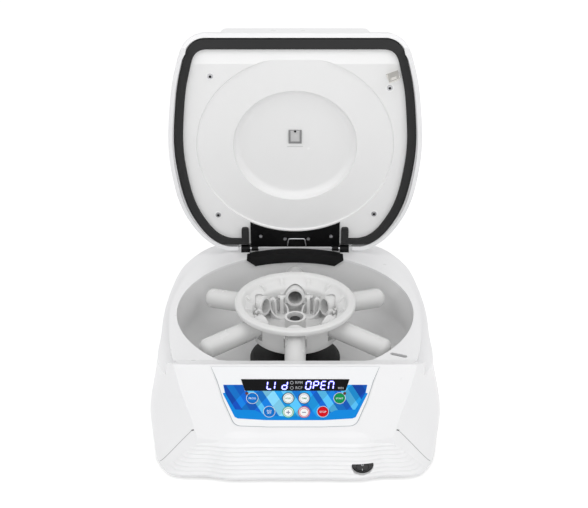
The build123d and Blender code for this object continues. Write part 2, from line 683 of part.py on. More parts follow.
def make_lock_body():
    """Lock housing under the deck, with a slot for the hook and a bore for the bolt."""
    body = lock_place(2.5, 0, -WALL - LOCK_DEPTH / 2) * Box(LOCK_LENGTH, LOCK_WIDTH, LOCK_DEPTH)
    body += rod(LOCK_BARREL_RADIUS, lock_xyz(-6.0), lock_xyz(-LOCK_BARREL_REACH))
    body -= lock_place(0, 0, -8) * Box(LOCK_SLOT_LENGTH - 2, LOCK_SLOT_WIDTH, 30)
    body -= rod(BOLT_RADIUS + PIN_GAP, lock_xyz(1.5 - LOCK_BARREL_REACH), lock_xyz(BOLT_TRAVEL))
    outer = CHAMBER_RADIUS + CHAMBER_WALL
    return body - disc(outer + 0.3, -80, 0)


def lock_xyz(across, along=0.0, z=BOLT_Z):
    """Point at the lock, by distance across the slot."""
    angle = radians(LOCK_ANGLE)
    x = LOCK_X + along * cos(angle) - across * sin(angle)
    y = LOCK_Y + along * sin(angle) + across * cos(angle)
    return (x, y, z)


def make_bolt():
    """Sliding bolt of the lid lock, drawn back."""
    return rod(BOLT_RADIUS, lock_xyz(-BOLT_SETBACK - BOLT_LENGTH), lock_xyz(-BOLT_SETBACK))


def rotor_outline(inset=0.0):
    """Half section of the rotor bowl's outside, or of its inside."""
    top, rim, low = ROTOR_RIM_Z, ROTOR_RIM_RADIUS, ROTOR_FOOT_Z + inset
    foot, wall = ROTOR_FOOT_RADIUS - inset, ROTOR_WALL_RADIUS - inset
    side = Spline((foot, low), (wall - 0.2, -15), (wall, -3), tangents=[(1, 1.6), (0, 1)])
    if inset:
        inner = rim - ROTOR_RIM_WIDTH
        slope = Spline((wall, -3), (inner - 2.4, 6.8), (inner + 2.5, top), tangents=[(0, 1), (1, 0.15)])
        cap = Polyline((inner + 2.5, top), (inner + 2.5, top + 1), (0, top + 1), (0, low), (foot, low))
        return make_face([side.edge(), slope.edge(), *cap.edges()])
    flange = Spline((wall, -3), (wall + 6, 2.6), (rim - 1.8, 4.6), tangents=[(0, 1), (1, 0.1)])
    lip = Polyline((rim - 1.8, 4.6), (rim - 1.8, 6.2), (rim, 7.2), (rim, top - 2.5))
    crown = Spline((rim, top - 2.5), (rim - 3.5, top), tangents=[(0, 1), (-1, 0)])
    cap = Polyline((rim - 3.5, top), (0, top), (0, low), (foot, low))
    return make_face([side.edge(), flange.edge(), *lip.edges(), crown.edge(), *cap.edges()])


def azimuths(offset=0.0):
    """Directions of the buckets, or of the places between them."""
    return [BUCKET_FIRST + offset + index * 360 / BUCKET_COUNT for index in range(BUCKET_COUNT)]


def bucket_slot():
    """Arched slot in the rotor's wall for the bucket that lies along +X."""
    half = BUCKET_RADIUS + 1.0
    tilt = radians(BUCKET_TILT)
    reach = ROTOR_WALL_RADIUS + 1.0 - PIVOT_R
    sill = PIVOT_Z - reach * tan(tilt) - BUCKET_RADIUS / cos(tilt) - 0.4
    centre = PIVOT_Z - 1.0
    slot = block(44, 80, -half, half, sill, centre)
    return slot + Pos(62, 0, centre) * Rot(0, 90, 0) * Cylinder(half, 36)


def fin():
    """Saddle post and wall fin beside a bucket that lies along +X."""
    top = PIVOT_Z + 2.8
    outline = Polyline(
        (34, ROTOR_FOOT_Z + 1), (35.5, top - 3), (37, top), (46, top), (48, top + 7), (51, ROTOR_RIM_Z - 5),
        (54, ROTOR_RIM_Z - 3), (ROTOR_RIM_RADIUS - 6, ROTOR_RIM_Z - 3),
        (ROTOR_RIM_RADIUS - 6, ROTOR_FOOT_Z + 1), close=True,
    )
    plate = extrude(Plane.XZ * make_face(outline), FIN_THICK / 2, both=True)
    notch = TRUNNION_RADIUS + 0.3
    plate -= block(PIVOT_R - notch, PIVOT_R + notch, -5, 5, PIVOT_Z, top + 1)
    plate -= Pos(PIVOT_R, 0, PIVOT_Z) * Rot(90, 0, 0) * Cylinder(notch, 10)
    return plate


def bucket_room():
    """Room that a bucket along +X needs near its mouth while it swings, with some air."""
    room = None
    for tilt in (0, BUCKET_TILT):
        tube = Pos(8, 0, 0) * Rot(0, 90, 0) * Cylinder(BUCKET_RADIUS + 0.8, 26)
        tube = Pos(PIVOT_R, 0, PIVOT_Z) * Rot(0, tilt, 0) * tube
        room = tube if room is None else room + tube
    return room


def make_rotor():
    """Bowl-shaped rotor with arched slots, saddles, wells and a hub ring."""
    outside = revolve(Plane.XZ * rotor_outline(), Axis.Z)
    bowl = outside - revolve(Plane.XZ * rotor_outline(ROTOR_WALL), Axis.Z)
    extras = disc(HUB_RADIUS, ROTOR_FOOT_Z + 1, HUB_TOP_Z)
    slant = Pos(WELL_R, 0, WELL_Z) * Rot(0, -WELL_SLANT, 0) * Pos(0, 0, 30) * Box(80, 60, 60)
    well = disc(WELL_RADIUS, ROTOR_FOOT_Z + 1, 0, WELL_R) - slant
    well -= disc(WELL_RADIUS - WELL_WALL, ROTOR_FOOT_Z, 1, WELL_R)
    for side in (-1, 1):
        well -= Rot(0, 0, side * 180 / BUCKET_COUNT) * bucket_room()
    for azimuth in azimuths():
        for side in (-1, 1):
            extras += Rot(0, 0, azimuth) * Pos(0, side * FIN_OFFSET, 0) * fin()
    for azimuth in azimuths(180 / BUCKET_COUNT):
        extras += Rot(0, 0, azimuth) * well
    bowl += extras & outside
    for azimuth in azimuths():
        bowl -= Rot(0, 0, azimuth) * bucket_slot()
    bowl += disc(16, ROTOR_FOOT_Z - 10, ROTOR_FOOT_Z + 1)
    bowl -= disc(HUB_BORE, HUB_TOP_Z - 9 - NUT_DROP, HUB_TOP_Z + 1)
    return bowl - disc(SHAFT_RADIUS + SHAFT_GAP, -80, 20)


def make_bucket(azimuth):
    """Round-ended tube bucket with its two trunnions, tilted as it rests."""
    length = BUCKET_TIP_R - BUCKET_MOUTH_R
    middle = (BUCKET_TIP_R + BUCKET_MOUTH_R) / 2 - PIVOT_R
    body = Pos(middle, 0, 0) * Rot(0, 90, 0) * Cylinder(BUCKET_RADIUS, length)
    ends = body.edges().filter_by(GeomType.CIRCLE).sort_by(Axis.X)
    body = fillet(ends[-1], BUCKET_TIP_EASE)
    body = chamfer(body.edges().filter_by(GeomType.CIRCLE).sort_by(Axis.X)[0], 0.8)
    body += Rot(90, 0, 0) * Cylinder(TRUNNION_RADIUS, 2 * TRUNNION_REACH)
    start = BUCKET_MOUTH_R - PIVOT_R - 1
    depth = BUCKET_TIP_R - BUCKET_END_WALL - PIVOT_R - start
    bore = Pos(start + depth / 2, 0, 0) * Rot(0, 90, 0) * Cylinder(BUCKET_BORE, depth)
    bore = fillet(bore.edges().sort_by(Axis.X)[-1], 6.0)
    return Rot(0, 0, azimuth) * Pos(PIVOT_R, 0, PIVOT_Z) * Rot(0, BUCKET_TILT, 0) * (body - bore)


def make_shaft():
    """Motor shaft from the motor's foot up into the hub."""
    return disc(SHAFT_RADIUS, PAN_Z + PAN_THICK + 2 * MOTOR_FOOT_GAP, HUB_TOP_Z - 1 - NUT_DROP)


def make_rotor_nut():
    """Domed cap nut that holds the rotor on the shaft."""
    top = HUB_TOP_Z - NUT_DROP
    nut = extrude(Pos(0, 0, top - 8.6) * RegularPolygon(7.2, 6), 6)
    nut += disc(5.8, top - 2.6, top + 1.2)
    return nut - disc(SHAFT_RADIUS + SHAFT_GAP, -80, top - 0.9)


def make_boot():
    """Rubber boot that covers the chamber's floor opening round the shaft."""
    z, top, bore = CHAMBER_FLOOR_Z, BOOT_TOP_Z, SHAFT_RADIUS + 3
    rim = BOOT_RADIUS
    side = [(20, z), (rim, z), (rim, z + 6), (rim - 4, z + 9), (rim - 14, z + 13)]
    collar = [(24, top - 2), (20, top), (bore, top), (bore, top - 3), (20, top - 6)]
    inside = [(rim - 18, z + 8), (rim - 18, z + 2), (20, z + 2)]
    profile = Polyline(*side, *collar, *inside, close=True)
    return revolve(Plane.XZ * make_face(profile), Axis.Z)


def motor_plate_z():
    """Underside of the motor's steel plate."""
    return PAN_Z + PAN_THICK + MOUNT_HEIGHT


def make_motor():
    """Flat motor that stands on its plate, with a lower bearing boss."""
    z = motor_plate_z() + MOTOR_PLATE_THICK
    can = disc(MOTOR_RADIUS, z, MOTOR_TOP_Z)
    can = fillet(can.edges().group_by(Axis.Z)[-1], 4)
    can += disc(MOTOR_FOOT_RADIUS, PAN_Z + PAN_THICK + MOTOR_FOOT_GAP, z)
    return can - disc(SHAFT_RADIUS + SHAFT_GAP, -200, 0)


def make_motor_plate():
    """Steel plate that carries the motor on its four mounts."""
    z = motor_plate_z() + MOTOR_PLATE_THICK / 2
    plate = Pos(0, 0, z) * Box(MOTOR_PLATE_SIZE, MOTOR_PLATE_SIZE, MOTOR_PLATE_THICK)
    return plate - disc(MOTOR_FOOT_RADIUS + 0.3, z - 5, z + 5)


def make_motor_mounts():
    """Four rubber mounts between base pan and motor plate."""
    reach = MOTOR_PLATE_SIZE / 2 - 1.5 * MOUNT_RADIUS
    mounts = []
    for x in (-reach, reach):
        for y in (-reach, reach):
            mounts.append(disc(MOUNT_RADIUS, PAN_Z + PAN_THICK, motor_plate_z(), x, y))
    return Compound(children=mounts)


def make_overlay():
    """Printed insert of the control panel with holes for keys, lamps and display."""
    high = OVERLAY_THICK - OVERLAY_RECESS
    plate = panel_plate(overlay_corners(OVERLAY_GAP), -OVERLAY_RECESS, high, OVERLAY_CORNER)
    plate -= panel_plate(display_corners(), -5, 5)
    for x, down in KEYS:
        plate -= on_panel(x, down) * Cylinder(KEY_RADIUS + KEY_GAP, 10)
    for x, down in LAMPS:
        plate -= on_panel(x, down) * Cylinder(LAMP_RADIUS + 0.1, 10)
    return plate


def make_display():
    """Dark display window, set into the insert."""
    return panel_plate(display_corners(OVERLAY_GAP), -OVERLAY_RECESS, OVERLAY_THICK - OVERLAY_RECESS + 0.2)


def make_display_module():
    """Digit module behind the display window, in the opening of the panel's face."""
    return panel_plate(display_corners(4.3), -WALL - 0.6, -OVERLAY_RECESS - 0.1)


def make_lamps():
    """Two small indicator lamps, each on a thin stem from the control board."""
    lamp = disc(LAMP_RADIUS, -WALL, OVERLAY_THICK - OVERLAY_RECESS + 0.5)
    lamp += disc(LAMP_STEM_RADIUS, -BOARD_DEPTH, -WALL)
    return Compound(children=[on_panel(x, down) * lamp for x, down in LAMPS])


def make_key(x, down):
    """Round key with a flange behind the panel and a stem to its switch."""
    top = OVERLAY_THICK - OVERLAY_RECESS + KEY_RISE
    cap = Pos(0, 0, (top - WALL - 1.2) / 2) * Cylinder(KEY_RADIUS, top + WALL + 1.2)
    cap = fillet(cap.edges().group_by(Axis.Z)[-1], 0.5)
    cap += Pos(0, 0, -WALL - 0.75) * Cylinder(KEY_RADIUS + 1, 0.9)
    return on_panel(x, down) * cap


def make_board():
    """Control board behind the panel with one small switch below each key."""
    middle, height = (BOARD_TOP + BOARD_FOOT) / 2, BOARD_FOOT - BOARD_TOP
    board = on_panel(0, middle, -BOARD_DEPTH - BOARD_THICK / 2) * Box(116, height, BOARD_THICK)
    rise = BOARD_DEPTH - WALL - 1.2 - KEY_TRAVEL - 0.2
    for x, down in KEYS:
        board += on_panel(x, down, -BOARD_DEPTH + rise / 2) * Box(6, 6, rise)
    return board


def make_board_posts():
    """Four posts that hold the control board to the panel's back."""
    posts = []
    for x in (-54, 54):
        for down in (BOARD_TOP + 12, BOARD_FOOT - 4):
            posts.append(on_panel(x, down, -(BOARD_DEPTH + WALL) / 2) * Cylinder(2.5, BOARD_DEPTH - WALL))
    return Compound(children=posts)


def make_switch_body():
    """Black switch body in the skirt, with an oval well for its rocker."""
    body = Pos(0, SWITCH_FRONT_Y, 0) * extrude(switch_outline(), SWITCH_DEPTH, dir=(0, 1, 0))
    well = SlotOverall(ROCKER_WIDTH + 1.0, ROCKER_HEIGHT + 2.2)
    centre = SWITCH_Z - ROCKER_DROP
    body -= Plane.XZ * Pos(SWITCH_X, centre, -SWITCH_FRONT_Y - SWITCH_DEPTH / 2) * extrude(well, 20)
    return body - rocker_pin(PIN_GAP)


def rocker_pin(gap=0.0):
    """Pin that the rocker turns on, or the room for it."""
    pin = Cylinder(ROCKER_PIN_RADIUS + gap, 2 * (ROCKER_PIN_REACH + 2 * gap))
    return Pos(SWITCH_X, ROCKER_Y, SWITCH_Z - ROCKER_DROP) * Rot(0, 90, 0) * pin


def make_rocker():
    """Oval rocker with its pin, tilted to its off position."""
    shape = extrude(SlotOverall(ROCKER_WIDTH, ROCKER_HEIGHT), ROCKER_DEPTH / 2, both=True)
    place = Pos(SWITCH_X, ROCKER_Y, SWITCH_Z - ROCKER_DROP)
    return place * Rot(90 - ROCKER_TILT, 0, 0) * shape + rocker_pin()


def inlet_block(x0, x1, y0, y1, rise, z=0.0):
    """Box at the mains inlet, from y0 to y1 behind the rear wall's face and as high as it is low."""
    return block(x0, x1, REAR_Y + y0, REAR_Y + y1, INLET_Z + z - rise, INLET_Z + z + rise)


def make_inlet():
    """Mains inlet with its socket and a bay for the fuse drawer."""
    half, rise = INLET_HALF, INLET_RISE
    body = inlet_block(-half - INLET_EDGE, half + INLET_EDGE, 0, INLET_FLANGE, rise + INLET_EDGE)
    body += inlet_block(-half, half, -INLET_DEPTH, 0, rise)
    body -= inlet_block(-1, half - 1, -SOCKET_DEPTH, 5, 8)
    bay = DRAWER_X - DRAWER_HALF, DRAWER_X + DRAWER_HALF
    return body - inlet_block(*bay, -SOCKET_DEPTH - 3, 5, DRAWER_HALF + 1)


def make_inlet_pins():
    """Three flat contact pins in the inlet."""
    return Compound(children=[inlet_block(x - 2.5, x + 2.5, -SOCKET_DEPTH, -3, 1, z) for x, z in PIN_PLACES])


def make_fuse_drawer():
    """Fuse drawer beside the inlet's socket."""
    half = DRAWER_HALF - INLET_GAP
    drawer = inlet_block(DRAWER_X - half, DRAWER_X + half, -SOCKET_DEPTH - 1, 2, DRAWER_HALF + 1 - INLET_GAP)
    return drawer - inlet_block(DRAWER_X - 3, DRAWER_X + 3, 1, 3, 1, -5.5)


def make_power_supply():
    """Closed power supply box on the base pan."""
    z = PAN_Z + PAN_THICK + SUPPLY_HEIGHT / 2
    box = Pos(0, SUPPLY_Y, z) * Box(SUPPLY_LENGTH, SUPPLY_WIDTH, SUPPLY_HEIGHT)
    return fillet(box.edges().filter_by(Axis.Z), 3)


def make_feet():
    """Four rubber feet."""
    feet = []
    for x, y in FEET:
        foot = disc(FOOT_RADIUS, -DECK_HEIGHT, PAN_Z, x, y)
        foot = chamfer(foot.edges().group_by(Axis.Z)[0], 1.0)
        feet.append(foot - disc(FOOT_SCREW_RADIUS, -DECK_HEIGHT - 1, -DECK_HEIGHT + 4, x, y))
    return Compound(children=feet)


def make_spring_wire():
    """Bent wire spring on the hinge plate."""
    z = LINER_Z - PLATE_THICK - WIRE_RADIUS - 0.1
    foot, top = HINGE_Y - 5, HINGE_Y - 15
    path = FilletPolyline((-9.5, foot, z), (-8.0, top, z), (12.0, top, z), (13.5, foot, z), radius=2.5)
    return sweep(Plane(origin=path @ 0, z_dir=path % 0) * Circle(WIRE_RADIUS), path=path)


def make_lid_window():
    """Small square sight window just in front of the middle of the recess."""
    z = LINER_Z + RECESS_RISE
    plate = Pos(0, WINDOW_Y, z - 0.75) * Box(WINDOW_WIDTH, WINDOW_HEIGHT, 1.5)
    return plate - Pos(0, WINDOW_Y, z - 1.4) * Box(WINDOW_WIDTH - 4, WINDOW_HEIGHT - 4, 1.2)


def open_lid(piece):
    """Piece of the closed lid turned up about the hinge's axis."""
    place = Pos(0, HINGE_Y, HINGE_Z)
    return place * Rot(-OPEN_ANGLE, 0, 0) * Pos(0, -HINGE_Y, -HINGE_Z) * piece


def write(name, piece):
    """Write one node in its final place: on the table, centred front to rear."""
    export_step(Pos(0, ROTOR_Y, DECK_HEIGHT) * piece, f"parts/{name}.step")


def main():
    os.makedirs("parts", exist_ok=True)
    write("housing_shell", make_housing())
    write("base_pan", make_base_pan())
    write("chamber_bowl", make_chamber())
    write("rim_guard", make_guard())
    write("hinge_brackets", make_hinge_brackets())
    write("hinge_pins", make_hinge_pins())
    write("motor_boot", make_boot())
    write("motor", make_motor())
    write("motor_plate", make_motor_plate())
    write("motor_mounts", make_motor_mounts())
    write("panel_insert", make_overlay())
    write("display_window", make_display())
    write("display_module", make_display_module())
    write("indicator_lamps", make_lamps())
    write("control_board", make_board())
    write("board_posts", make_board_posts())
    write("switch_body", make_switch_body())
    write("power_rocker", make_rocker())
    write("lock_body", make_lock_body())
    write("lock_bolt", make_bolt())
    write("mains_inlet", make_inlet())
    write("inlet_pins", make_inlet_pins())
    write("fuse_drawer", make_fuse_drawer())
    write("power_supply", make_power_supply())
    write("feet", make_feet())
    write("rotor_bowl", make_rotor())
    write("rotor_nut", make_rotor_nut())
    write("motor_shaft", make_shaft())
    for number, azimuth in enumerate(azimuths(), 1):
        write(f"tube_bucket_{number}", make_bucket(azimuth))
    for number, (x, down) in enumerate(KEYS, 1):
        write(f"key_{number}", make_key(x, down))
    write("lid_shell", open_lid(make_lid_shell()))
    write("lid_liner", open_lid(make_liner()))
    write("lid_gasket", open_lid(make_gasket()))
    write("lid_window", open_lid(make_lid_window()))
    write("latch_hook", open_lid(make_hook()))
    write("hinge_plate", open_lid(make_hinge_plate()))
    write("hinge_spring", open_lid(make_spring_wire()))
    write("hinge_screws", open_lid(small_screws(PLATE_SCREWS, PLATE_SCREW_HEAD, LINER_Z - PLATE_THICK, 6)))
    write("liner_screws", open_lid(small_screws(LINER_SCREWS, LINER_SCREW_HEAD, LINER_Z, 8)))


main()
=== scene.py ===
# %% [markdown]
# # A bench centrifuge, dressed in Blender
#
# The imported model gives the real shapes: a white moulded housing, a lid that stands open,
# a steel chamber with a bowl rotor and six tube buckets, and a sloping key panel.
# This script keeps those solids where they are. It gives each one a finish, and adds the
# printed and lit things that are too thin for the solids: the panel's colours, the rings and
# words on the keys, the digits of the display, and fine lines of painted shade on the mouldings.

# %% Load the imported model
import bmesh
import bpy
import json
import math
from mathutils import Matrix, Vector


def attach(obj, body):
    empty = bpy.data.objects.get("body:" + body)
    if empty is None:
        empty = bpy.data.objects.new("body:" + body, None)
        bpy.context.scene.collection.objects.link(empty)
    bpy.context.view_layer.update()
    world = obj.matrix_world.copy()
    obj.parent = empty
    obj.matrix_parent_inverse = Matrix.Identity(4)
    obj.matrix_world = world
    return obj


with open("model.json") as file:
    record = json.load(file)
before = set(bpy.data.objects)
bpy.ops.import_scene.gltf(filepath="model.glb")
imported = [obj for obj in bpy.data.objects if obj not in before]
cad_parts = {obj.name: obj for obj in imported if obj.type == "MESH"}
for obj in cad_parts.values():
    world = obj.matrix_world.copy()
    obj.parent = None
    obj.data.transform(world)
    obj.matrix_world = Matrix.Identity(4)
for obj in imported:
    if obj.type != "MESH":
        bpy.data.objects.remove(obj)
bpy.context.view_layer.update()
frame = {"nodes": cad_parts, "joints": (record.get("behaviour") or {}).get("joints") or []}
nodes = frame["nodes"]
MM = 0.001

# %% [markdown]
# ## The camera
#
# A camera can be fitted to a photograph by a few lengths that are known on the object.
# Here the rotor's rim, the deck's opening and the panel's corners gave a focal length of
# 1200 pixels for an image 588 pixels wide, and a steady look downwards with no turn.
# The place is written from the rotor's axis, which is a pixel off the middle of the picture.

# %% Place the camera
IMAGE_WIDTH = 588
FOCAL_PIXELS = 1200.0
SENSOR_WIDTH = 36.0
CAMERA_PITCH = 27.78
CAMERA_PLACE = (-0.0013, -1.19539, 0.81649)

camera_data = bpy.data.cameras.new("camera")
camera_data.sensor_width = SENSOR_WIDTH
camera_data.lens = FOCAL_PIXELS * SENSOR_WIDTH / IMAGE_WIDTH
camera = bpy.data.objects.new("camera", camera_data)
camera.location = CAMERA_PLACE
camera.rotation_euler = (math.radians(90.0 - CAMERA_PITCH), 0.0, 0.0)
bpy.context.scene.collection.objects.link(camera)
bpy.context.scene.camera = camera
print("lens", round(camera_data.lens, 2))

# %% [markdown]
# ## Light and floor
#
# The object is white on white, so the form is read from soft shade alone. A bright sky
# from all sides would do that and leave the edges flat. A weaker sky with a large lamp
# high at each side and one low in front gives the same softness. The lamps at the sides
# also reach the walls of the chamber, and a small one above lights the bowl's floor.
# The floor and the sky show as plain white to the camera through Light Path, so the lamps
# stay at a level where a colour renders as written.

# %% Build the studio
SKY_LEVEL = 0.7
FLOOR_SIZE = 6.0
FLOOR_COLOUR = (0.86, 0.86, 0.86, 1.0)
FLOOR_GLOW = 0.4


def seen_by_eye(tree):
    """Value that is one for rays from the camera and for those seen in gloss and glass."""
    path = tree.nodes.new("ShaderNodeLightPath")
    seen = path.outputs["Is Camera Ray"]
    for kind in ("Is Glossy Ray", "Is Transmission Ray"):
        either = tree.nodes.new("ShaderNodeMath")
        either.operation = "MAXIMUM"
        tree.links.new(seen, either.inputs[0])
        tree.links.new(path.outputs[kind], either.inputs[1])
        seen = either.outputs[0]
    return seen


def light_world():
    world = bpy.data.worlds.new("studio sky")
    world.use_nodes = True
    tree = world.node_tree
    tree.nodes.clear()
    output = tree.nodes.new("ShaderNodeOutputWorld")
    sky = tree.nodes.new("ShaderNodeBackground")
    sky.inputs["Strength"].default_value = SKY_LEVEL
    white = tree.nodes.new("ShaderNodeBackground")
    mix = tree.nodes.new("ShaderNodeMixShader")
    for background in (sky, white):
        background.inputs["Color"].default_value = (1.0, 1.0, 1.0, 1.0)
    tree.links.new(seen_by_eye(tree), mix.inputs[0])
    tree.links.new(sky.outputs[0], mix.inputs[1])
    tree.links.new(white.outputs[0], mix.inputs[2])
    tree.links.new(mix.outputs[0], output.inputs["Surface"])
    bpy.context.scene.world = world


def lay_floor():
    mesh = bpy.data.meshes.new("floor")
    half = FLOOR_SIZE / 2
    corners = [(-half, -half, 0), (half, -half, 0), (half, half, 0), (-half, half, 0)]
    mesh.from_pydata(corners, [], [(0, 1, 2, 3)])
    floor = bpy.data.objects.new("floor", mesh)
    bpy.context.scene.collection.objects.link(floor)
    material = bpy.data.materials.new("white studio floor")
    material.use_nodes = True
    tree = material.node_tree
    shader = tree.nodes["Principled BSDF"]
    shader.inputs["Base Color"].default_value = FLOOR_COLOUR
    shader.inputs["Roughness"].default_value = 0.9
    glow = tree.nodes.new("ShaderNodeMath")
    glow.operation = "MULTIPLY"
    glow.inputs[1].default_value = FLOOR_GLOW
    tree.links.new(seen_by_eye(tree), glow.inputs[0])
    shader.inputs["Emission Color"].default_value = (1.0, 1.0, 1.0, 1.0)
    tree.links.new(glow.outputs[0], shader.inputs["Emission Strength"])
    mesh.materials.append(material)


def hang_lamp(name, place, aim, size, watts):
    light = bpy.data.lights.new(name, "AREA")
    light.shape = "DISK"
    light.size = size
    light.energy = watts
    lamp = bpy.data.objects.new(name, light)
    lamp.location = place
    lamp.rotation_euler = (Vector(aim) - Vector(place)).to_track_quat("-Z", "Y").to_euler()
    bpy.context.scene.collection.objects.link(lamp)


OBJECT_MIDDLE = (0.0, 0.0, 0.15)
STUDIO_LAMPS = (  # name, place, diameter in metres, watts
    ("left softbox", (-1.3, -0.7, 1.6), 1.2, 4.5),
    ("right softbox", (1.3, -0.7, 1.6), 1.2, 5.2),
    ("front softbox", (0.0, -2.2, 0.9), 1.2, 8.4),
    ("top softbox", (0.0, -0.3, 1.7), 0.8, 1.6),
)
light_world()
lay_floor()
for name, place, size, watts in STUDIO_LAMPS:
    hang_lamp(name, place, OBJECT_MIDDLE, size, watts)
bpy.context.scene.view_settings.view_transform = "Standard"

# %% [markdown]
# ## Moulded plastic
#
# Housing, lid and liner are moulded in white plastic with a satin gloss. A real moulding
# isn't one flat colour: it has a faint cloud in its tone, slow ripples that bend its
# reflections and a very fine grain. Image textures could carry these, but three noise
# textures of different scale do it from any distance and need no unwrapping.
# Every finish here goes through one helper, because they differ only in such amounts.

# %% A helper for finishes
BUMP_HEIGHT = 0.0002  # metres
POLISH_SCALE = 6.0  # how much finer the uneven polish is than the clouds
SMOOTHEST = 0.02


def srgb(red, green, blue):
    """Colour as a paint chart gives it, from 0 to 255, turned into linear light."""
    channels = []
    for value in (red, green, blue):
        share = value / 255
        channels.append(share / 12.92 if share <= 0.04045 else ((share + 0.055) / 1.055) ** 2.4)
    return (*channels, 1.0)


def finish(name, colour, second, roughness, spread=0.06, grain=900.0, depth=0.05, clouds=9.0,
           stretch=None, **sockets):
    """Material with a clouded colour, uneven roughness and a fine bump, all from noise."""
    material = bpy.data.materials.new(name)
    material.use_nodes = True
    tree = material.node_tree
    shader = tree.nodes["Principled BSDF"]
    place = tree.nodes.new("ShaderNodeTexCoord").outputs["Object"]
    if stretch:
        scaling = tree.nodes.new("ShaderNodeMapping")
        scaling.inputs["Scale"].default_value = stretch
        tree.links.new(place, scaling.inputs["Vector"])
        place = scaling.outputs["Vector"]

    def noise(scale, detail):
        node = tree.nodes.new("ShaderNodeTexNoise")
        node.inputs["Scale"].default_value = scale
        node.inputs["Detail"].default_value = detail
        tree.links.new(place, node.inputs["Vector"])
        return node.outputs["Fac"]

    tone = tree.nodes.new("ShaderNodeMix")
    tone.data_type = "RGBA"
    tone.inputs["A"].default_value = colour
    tone.inputs["B"].default_value = second
    tree.links.new(noise(clouds, 3.0), tone.inputs["Factor"])
    tree.links.new(tone.outputs["Result"], shader.inputs["Base Color"])
    polish = tree.nodes.new("ShaderNodeMapRange")
    polish.inputs["To Min"].default_value = max(roughness - spread, SMOOTHEST)
    polish.inputs["To Max"].default_value = roughness + spread
    tree.links.new(noise(clouds * POLISH_SCALE, 4.0), polish.inputs["Value"])
    tree.links.new(polish.outputs["Result"], shader.inputs["Roughness"])
    bump = tree.nodes.new("ShaderNodeBump")
    bump.inputs["Strength"].default_value = depth
    bump.inputs["Distance"].default_value = BUMP_HEIGHT
    tree.links.new(noise(grain, 2.0), bump.inputs["Height"])
    tree.links.new(bump.outputs["Normal"], shader.inputs["Normal"])
    for socket, value in sockets.items():
        shader.inputs[socket.replace("_", " ")].default_value = value
    return material


def paint(material, *names):
    """Gives the named solids one material in place of what they came with."""
    for name in names:
        slots = nodes[name].data.materials
        slots.clear()
        slots.append(material)


# %% White mouldings
shell_white = finish(
    "satin white moulding", srgb(240, 240, 241), srgb(235, 235, 236), 0.3, grain=1400.0, depth=0.04)
liner_white = finish(
    "white liner moulding", srgb(240, 240, 240), srgb(236, 236, 236), 0.36, grain=1400.0, depth=0.04)
paint(shell_white, "housing_shell", "lid_shell")
paint(liner_white, "lid_liner")

# %% [markdown]
# ## Chamber, rotor and buckets
#
# The bowl round the rotor is coated sheet steel, a little darker than the housing because
# less light reaches it. The rotor and its buckets are pale grey mouldings. The buckets are
# handled most, so they are a touch smoother than the rotor, whose wall keeps the fine
# grain of its mould.

# %% Finishes inside the chamber
chamber_grey = finish(
    "coated chamber", srgb(236, 236, 236), srgb(229, 229, 229), 0.36, grain=1800.0, depth=0.05)
rotor_grey = finish(
    "rotor moulding", srgb(228, 228, 227), srgb(221, 221, 221), 0.36, grain=2200.0, depth=0.08)
bucket_grey = finish(
    "bucket moulding", srgb(224, 224, 223), srgb(216, 216, 216), 0.26, grain=1600.0, depth=0.04)
paint(chamber_grey, "chamber_bowl")
paint(rotor_grey, "rotor_bowl")
paint(bucket_grey, *[f"tube_bucket_{number}" for number in range(1, 7)])

# %% [markdown]
# ## Rubber, metal and black plastic
#
# The seal, the guard below the hinge, the boot round the shaft and the feet are rubber:
# dark, rough and never quite black. Screws, pins and the hook are plated steel, which
# needs metallic reflection and a slight brushed streak. The rotor's nut is coloured near
# black as painted shade, so that the hub reads as deep. The hinge plate is steel with a black
# coat, and the switch, the lock and the inlet are black plastic with more gloss.

# %% Finishes of the small pieces
gasket_rubber = finish(
    "seal rubber", srgb(48, 48, 48), srgb(41, 41, 42), 0.62, grain=2600.0, depth=0.2, Specular_IOR_Level=0.2)
black_rubber = finish(
    "black rubber", srgb(25, 25, 26), srgb(19, 19, 20), 0.58, grain=2600.0, depth=0.25,
    Specular_IOR_Level=0.2)
boot_rubber = finish(
    "boot rubber", srgb(26, 26, 27), srgb(21, 21, 22), 0.55, grain=2600.0, depth=0.2, Specular_IOR_Level=0.3)
steel = finish(
    "brushed steel", srgb(196, 196, 198), srgb(176, 176, 180), 0.28, stretch=(1, 1, 14), Metallic=1.0)
# Near-black colour of the rotor nut: painted shade that makes the hub look deep.
hub_shade_steel = finish(
    "steel darkened as painted hub shade", srgb(46, 46, 48), srgb(36, 36, 38), 0.4, depth=0.1, Specular_IOR_Level=0.3)
nickel = finish("nickel plate", srgb(210, 208, 203), srgb(188, 186, 182), 0.2, Metallic=1.0)
black_coat = finish(
    "black coated steel", srgb(12, 12, 13), srgb(7, 7, 8), 0.42, grain=2400.0, depth=0.25,
    Specular_IOR_Level=0.15)
black_plastic = finish(
    "black switch plastic", srgb(28, 28, 30), srgb(20, 20, 22), 0.24, grain=1800.0, depth=0.08)
sheet_zinc = finish("zinc plated sheet", srgb(170, 172, 174), srgb(146, 148, 152), 0.4, Metallic=1.0)
board_green = finish("board lacquer", srgb(20, 92, 50), srgb(14, 78, 42), 0.4)
brass = finish("brass", srgb(200, 168, 92), srgb(180, 148, 78), 0.3, Metallic=1.0)
pan_grey = finish("powder coated pan", srgb(196, 196, 196), srgb(186, 186, 186), 0.5, grain=2600.0, depth=0.3)
motor_grey = finish("motor paint", srgb(72, 74, 78), srgb(62, 64, 68), 0.45)

